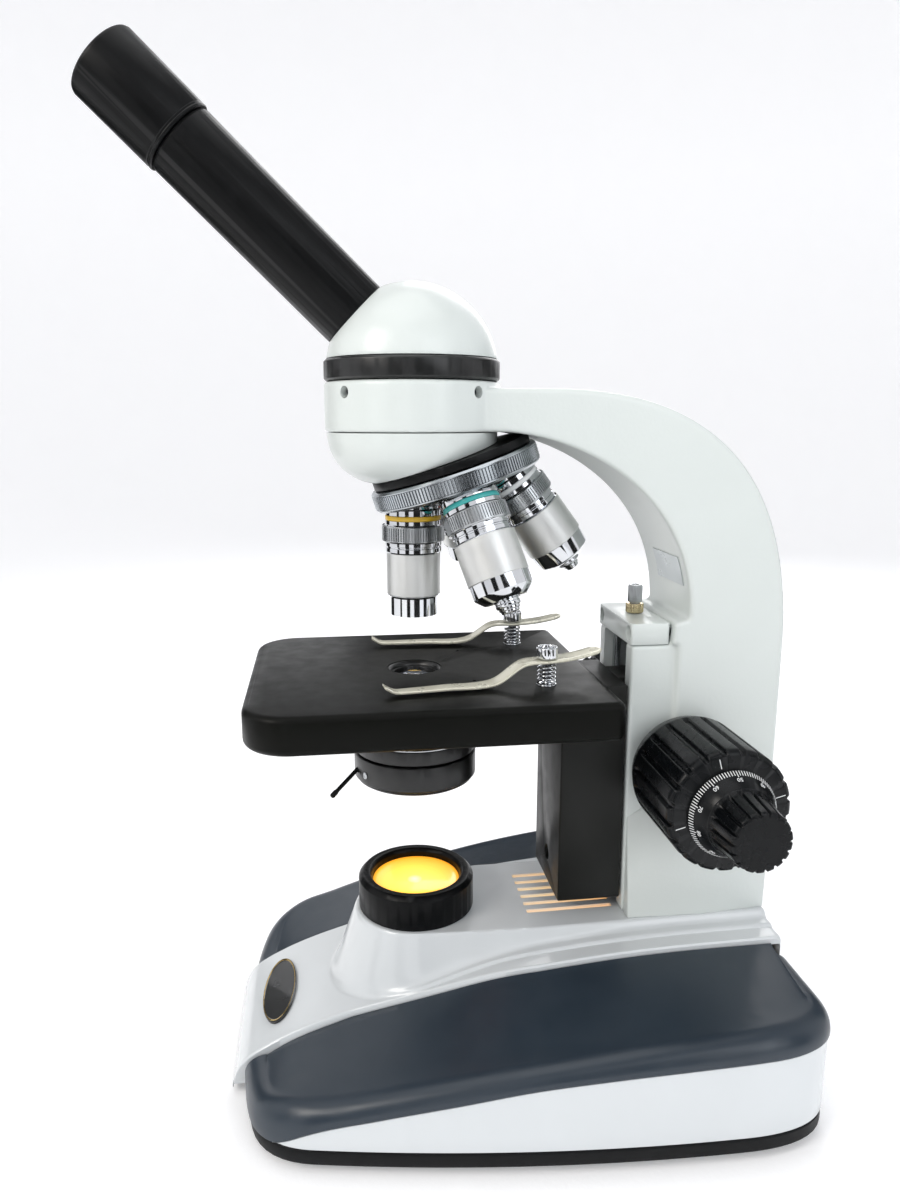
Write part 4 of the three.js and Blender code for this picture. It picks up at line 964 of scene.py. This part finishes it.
# ---------- head ----------
def add_head():
    band = hoop([
        (12, 251), (21.8, 251), (21.8, 264.3), (31.1, 264.3), (HEAD_RADIUS, 265.1), (HEAD_RADIUS, 271.1),
        (31.1, 271.9), (12, 271.9),
    ], 160)
    piece("neck_ring", band, BLACK_GLOSS, "head", "head_band", bevel=0.25)
    radius, middle, seat = 31.1, 268, 272.2
    low = math.asin((seat - middle) / radius)
    arc = [low + (math.pi / 2 - low) * k / 40 for k in range(41)]
    outer = [(radius * math.cos(a), middle + radius * math.sin(a)) for a in arc[:-1]]
    outer.append((0, middle + radius))
    place = tilted(TUBE_TURN_Z, TUBE_TILT)
    facet = moved(box(-20, 20, -20, 20, 28.2, 60), place)
    bore = moved(rod(12.6, 4, 60, 96), place)
    piece("dome", lathe([(0, seat)] + outer, 160), ENAMEL, "head", "head_dome", bevel=0.7,
          cutters=[facet, bore])
    tube_line = [(11, 22.5), (12.2, 22.5), (12.2, 28.5), (13.2, 28.5), (13.2, 107.4), (12.9, 107.7),
                 (12.9, 108.1), (11.8, 108.1), (11.8, 70), (11, 70)]
    piece("tube", hoop(tube_line, 128), BLACK_METAL, "head", "eyepiece_tube", at=place,
          bevel=0.15)
    sleeve = [(9, 84), (11.5, 84), (11.5, 108.4), (13.6, 108.4), (13.9, 108.8), (13.9, 109.4),
              (13.65, 109.6), (13.65, 110.2), (13.9, 110.4), (13.9, 140.3), (13.5, 141.3), (12.6, 141.9),
              (9.4, 141.5), (8.6, 140), (8, 138.3), (8, 133.9), (9, 133.9)]
    piece("eyepiece_sleeve", hoop(sleeve, 128), BLACK_METAL, "eyepiece", "eyepiece_body",
          at=place, bevel=0.2)
    lens = [(0, 134.3), (7.7, 134.3), (7.7, 136.5), *crown(7.7, 136.5, 1.5), (0, 138)]
    piece("eyepiece_lens", lathe(lens, 96), GLASS, "eyepiece", "eye_lens", at=place)


# ---------- stage ----------
def add_stage():
    body = "stage"
    outline = rounded_rect(-55.9, 55.9, -62.5, 67.3, 17, 3.4)
    pocket = prism(rounded_rect(-51.9, 51.9, -58.5, 53.4, 13), 142, 151.7)
    post_holes = [moved(rod(2.1, 150, 160), shift(x, POST_Y, 0)) for x in (-POST_X, POST_X)]
    holes = together(rod(10.4, 150, 160, 96), *post_holes)
    pins = together(*[moved(rod(0.7, 155.5, 160, 16), shift(x, 20, 0)) for x in (-22, 22)])
    notch = box(-19.4, 19.4, 58.3, 90, 141, 151.8)
    plate = prism(outline, 142.9, 156.7)
    made = solid("plate", plate)
    made.data.shade_smooth()
    add_bevel(made, 2.6, 6, 50)
    bake(made)
    cut(made, [pocket, holes, pins, notch])
    settled(made, "stage_table", STAGE_PAINT, body, ["stage_plate"], crease=30)
    ring = hoop([
        (8.9, 153.6), (10.35, 153.6), (10.35, 156.2), (10, 156.4), (9.2, 155.4), (8.9, 154.8),
    ], 128)
    piece("hole_ring", ring, BLACK_GLOSS, body, bevel=0.1)
    block = box(-19.1, 19.1, 54.4, 79.7, 63.3, 142.6)
    bolt = moved(rod(3, -59.4, -40, 48), shift(0, 0, 75) @ turn(90, "X"))
    piece("bracket", block, STAGE_PAINT, body, "stage_carrier", bevel=0.6, cutters=[bolt])
    piece("bracket_riser", box(-19.1, 19.1, 58.7, 79.7, 142.6, 151.5), STAGE_PAINT, body, bevel=0.3)
    piece("bracket_tongue", box(-8.6, 8.6, 79.5, 91.4, 71.3, 151.5), STAGE_PAINT, body, bevel=0.4)
    head = lathe([(0, -58.9), (2.7, -58.9), (2.7, -56.2), (2.3, -55.8), (0, -55.8)], 48)
    place = shift(0, 0, 75) @ turn(90, "X")
    piece("bracket_bolt", moved(head, place), STEEL, body, cutters=[moved(rod(1.3, -57.5, -50, 6), place)])
    dress("focus_rack", BRASS, 0.15)
    for x, y in ((-12, 47), (12, 47)):
        screw = lathe([(0, 143), (2.4, 143), (2.4, 141.6), (1.8, 141), (0, 141)], 48)
        name = "plate_screw_right" if x > 0 else "plate_screw_left"
        slot_cut = moved(box(-3, 3, -0.4, 0.4, 140, 141.5), shift(x, y, 0))
        piece(name, moved(screw, shift(x, y, 0)), BRIGHT_STEEL, body, cutters=[slot_cut])
    for hand, side, yaw in (("right", 1, 7), ("left", -1, -3)):
        post = shift(side * POST_X, POST_Y, 0)
        clip_body = f"{hand}_clip"
        piece(f"spring_clip_{hand}", clip(), CLIP_STEEL, clip_body, f"clip_{hand}", bevel=0.2,
              at=post @ turn(yaw, "Z"), segments=2, crease=50)
        head = lathe([
            (0, 150), (1.7, 150), (1.7, 166.7), (3.5, 166.7), (3.9, 167.1), (3.9, 170.5), (3.6, 170.9),
            (3.1, 170.9), (2.9, 170.5), (2.9, 168.3), (0, 168.3),
        ], 96)
        piece(f"post_{hand}", head, CHROME, body, f"clip_post_{hand}", at=post, bevel=0.12)
        piece(f"post_base_{hand}", tube(1.9, 3.6, 156.7, 157.3, 64), CHROME, body, at=post, bevel=0.12)
        piece(f"coil_{hand}", coil_spring(), CHROME, body, f"clip_spring_{hand}", at=post, crease=60)


def clip():
    """A strip of spring steel that steps down from its post, at the origin, to the slide."""
    line = [(-20.6, 168.3), (-10, 166.2), (0, 165.4), (7.5, 165.25), (10, 164.6), (18, 159.4), (21, 158.35),
            (38, 158), (54.5, 157.8), (57, 158.4), (59.8, 160.2)]
    widths = [(-16.8, 4.1), (0, 4.1), (22, 3.4), (52, 2.5), (59.8, 2.3)]
    top, bottom = [], []
    for k in range(101):
        d = -20.6 + 80.4 * k / 100
        half = smooth_along(widths, d)
        if d < -16.8:
            half = math.sqrt(max(0.05, 4.1**2 - (d + 16.8) ** 2))
        z = smooth_along(line, d)
        top.append([(half * w, -d, z + 0.9) for w in (-1, -0.5, 0, 0.5, 1)])
        bottom.append([(half * w, -d, z) for w in (-1, -0.5, 0, 0.5, 1)])
    return net(top, bottom)


def coil_spring():
    turns, wire = 4.5, 0.42
    steps = int(turns * 32)
    verts, faces = [], []
    for k in range(steps + 1):
        angle = 2 * math.pi * turns * k / steps
        z = 157.8 + 6.6 * k / steps
        for j in range(10):
            around = 2 * math.pi * j / 10
            r = 3.1 + wire * math.cos(around)
            verts.append((r * math.cos(angle), r * math.sin(angle), z + wire * math.sin(around)))
    for k in range(steps):
        for j in range(10):
            n = (j + 1) % 10
            faces.append((k * 10 + j, k * 10 + n, (k + 1) * 10 + n, (k + 1) * 10 + j))
    faces += [tuple(range(10)), tuple(range(steps * 10 + 9, steps * 10 - 1, -1))]
    return verts, faces


def add_condenser():
    body = hoop([
        (8.5, 112.6), (21.8, 112.6), (22.8, 113.2), (23.2, 114), (19.4, 114), (19.4, 124.5), (23.2, 124.5),
        (23.6, 125), (23.6, 130), (23.2, 130.4), (23.2, 131), (23.6, 131.4), (23.6, 141.4), (23, 142),
        (13.5, 143), (13.5, 148.5), (9.8, 151), (9.8, 154.5), (8.5, 154.5),
    ], 128)
    piece("condenser_barrel", body, BLACK_GLOSS, "stage", "condenser_body", bevel=0.15)
    glass = [(0, 113), (8, 114.5), (8.2, 120), (7.2, 121), (7.2, 153), (4, 154.3), (0, 154.6)]
    piece("condenser_glass", lathe(glass, 96), GLASS, "stage", "condenser_lens", bevel=0.2)
    # Painted glint: a thin copper-coloured ring under the condenser stands in for a warm highlight there.
    piece("condenser_glint_ring", tube(8.6, 16, 112.3, 112.7, 96), PAINTED_GLINT_COPPER, "stage", bevel=0.1)
    piece("condenser_line", tube(22.9, 23.75, 130.5, 130.85, 128), BRIGHT_STEEL, "stage")
    ring = hoop([
        (19.8, 114.3), (23.5, 114.3), (23.9, 114.7), (23.9, 123.8), (23.5, 124.2), (19.8, 124.2),
    ], 128)
    piece("iris_collar", ring, BLACK_GLOSS, "iris", "iris_ring", bevel=0.12)
    slant = Vector((2.6, -9.4, -8.8)).normalized().to_track_quat("Z", "Y").to_matrix().to_4x4()
    lever = lathe([(0, -2), (0.8, -2), (0.8, 11), (1.05, 11.6), (1.05, 13.6), (0.6, 14.2), (0, 14.2)], 32)
    piece("iris_lever", lever, BLACK_METAL, "iris", at=shift(6.2, -23.2, 118) @ slant, bevel=0.1)
    grub = lathe([(0, 22), (1.3, 22), (1.3, 24.15), (1, 24.3), (0, 24.3)], 32)
    place = turn(-58, "Z") @ shift(0, 0, 118) @ turn(90, "Y")
    piece("iris_grub_screw", grub, BRIGHT_STEEL, "iris", at=place)


# ---------- focusing knobs: turned along +Z, then laid along X ----------
COARSE_RADIUS = 22.2
DIAL_START = 42.6
DIAL_RADIUS = 15.6
FINE_END = 65


def add_knobs():
    for side, hand in SIDES:
        place = shift(side * 26, FOCUS_Y, FOCUS_Z) @ turn(side * 90, "Y")
        line = [(4.4, 0), (18.6, 0), (19.9, 0.4), (20.6, 1.2), (21.2, 3.2), (21.8, 5.2), (22.15, 6.6)]
        line += [(COARSE_RADIUS, *rest) for rest in ((7.2,), (8, 0.5), (9, 1.15), (10, 1.3))]
        line += [(COARSE_RADIUS, 10 + 29 * k / 6, 1.3) for k in range(1, 7)]
        line += [(22.1, 39.9, 1.3), (21.9, 40.7, 1.3), (21.4, 41.4, 1.1), (20.8, 41.8, 0.7), (20.2, 42)]
        line.append((4.4, 42))
        knob = hoop(line, 600, wave=grooves(20, 0.26))
        piece(f"coarse_grip_{hand}", knob, BLACK_PLASTIC, "coarse_focus", f"coarse_knob_{hand}", at=place,
              crease=45)
        for k in range(4):
            mark = box(16.4, 19.9, -0.14, 0.14, 41.8, 42.06)
            piece(f"index_{hand}_{k}", mark, WHITE_MARK, "coarse_focus", at=place @ turn(90 * k + 15, "Z"))
        start = DIAL_START
        dial = hoop([
            (2.7, start), (15.2, start), (DIAL_RADIUS, start + 0.4), (DIAL_RADIUS, start + 0.8),
            (12.2, start + 8), (2.7, start + 8),
        ], 160)
        piece(f"fine_dial_{hand}", dial, BLACK_PLASTIC, "fine_focus", f"fine_knob_{hand}", at=place,
              bevel=0.15)
        low, end = start + 7.6, FINE_END
        fine = [(0, low), (12.3, low), (12.2, low + 0.6), (11.9, low + 1, 0.1), (11.6, low + 1.8, 0.7)]
        fine += [(11.5 - 1.1 * k / 6, low + 2.5 + (end - 3.6 - low) * k / 6, 0.95) for k in range(7)]
        fine += [(10.2, end - 0.5, 0.9), (9.8, end - 0.1, 0.8), (9.2, end, 0.4), (8.6, end), (0, end)]
        grip = lathe(fine, 432, wave=grooves(18, 0.28))
        piece(f"fine_grip_{hand}", grip, BLACK_PLASTIC, "fine_focus", at=place, crease=45)
        slope = turn(math.degrees(math.atan2(7.2, 3.4)), "Y")
        ticks = []
        for k in range(100):
            length = 2.8 if k % 10 == 0 else 2.1
            tick = box(-length, 0, -0.13, 0.13, -0.1, 0.06)
            tick = moved(tick, shift(DIAL_RADIUS, 0, start + 0.85) @ slope)
            ticks.append(moved(tick, turn(3.6 * k, "Z")))
        piece(f"dial_ticks_{hand}", together(*ticks), WHITE_MARK, "fine_focus", at=place)
        add_numbers(hand, place @ shift(0, 0, start), slope)
    tube_line = [(2.8, -56), (4.1, -56), (4.1, -5.2), (4.6, -5), (5.4, -4.6, 1.0), (5.4, 4.6, 1.0),
                 (4.6, 5), (4.1, 5.2), (4.1, 56), (2.8, 56)]
    across = shift(0, FOCUS_Y, FOCUS_Z) @ turn(90, "Y")
    shaft = hoop(tube_line, 120, wave=ridges(10))
    piece("hollow_shaft", shaft, STEEL, "coarse_focus", "focus_shaft", at=across)
    piece("inner_shaft", rod(2.4, -86, 86), BRIGHT_STEEL, "fine_focus", "fine_shaft", at=across, bevel=0.2)


# The tens round the dial, as raised figures on its sloping face.
def add_numbers(hand, place, slope):
    for k in range(10):
        words = bpy.data.curves.new(f"number_{hand}_{k}", "FONT")
        words.body = str(k * 10)
        words.size = 2.1
        words.align_x = "CENTER"
        words.extrude = 0.05
        made = linked(words.name, words)
        mesh = final_mesh(made)
        shape = ([tuple(v.co) for v in mesh.vertices], [tuple(p.vertices) for p in mesh.polygons])
        bpy.data.objects.remove(made)
        lean = turn(36 * k, "Z") @ shift(14.2, 0, 3.8) @ slope @ turn(90, "Z") @ shift(0, 0, 0.02)
        piece(f"dial_number_{hand}_{k * 10}", shape, WHITE_MARK, "fine_focus", at=place @ lean)


add_camera()
add_studio()
add_floor()
add_base()
add_arm()
add_nosepiece()
add_head()
add_stage()
add_condenser()
add_knobs()
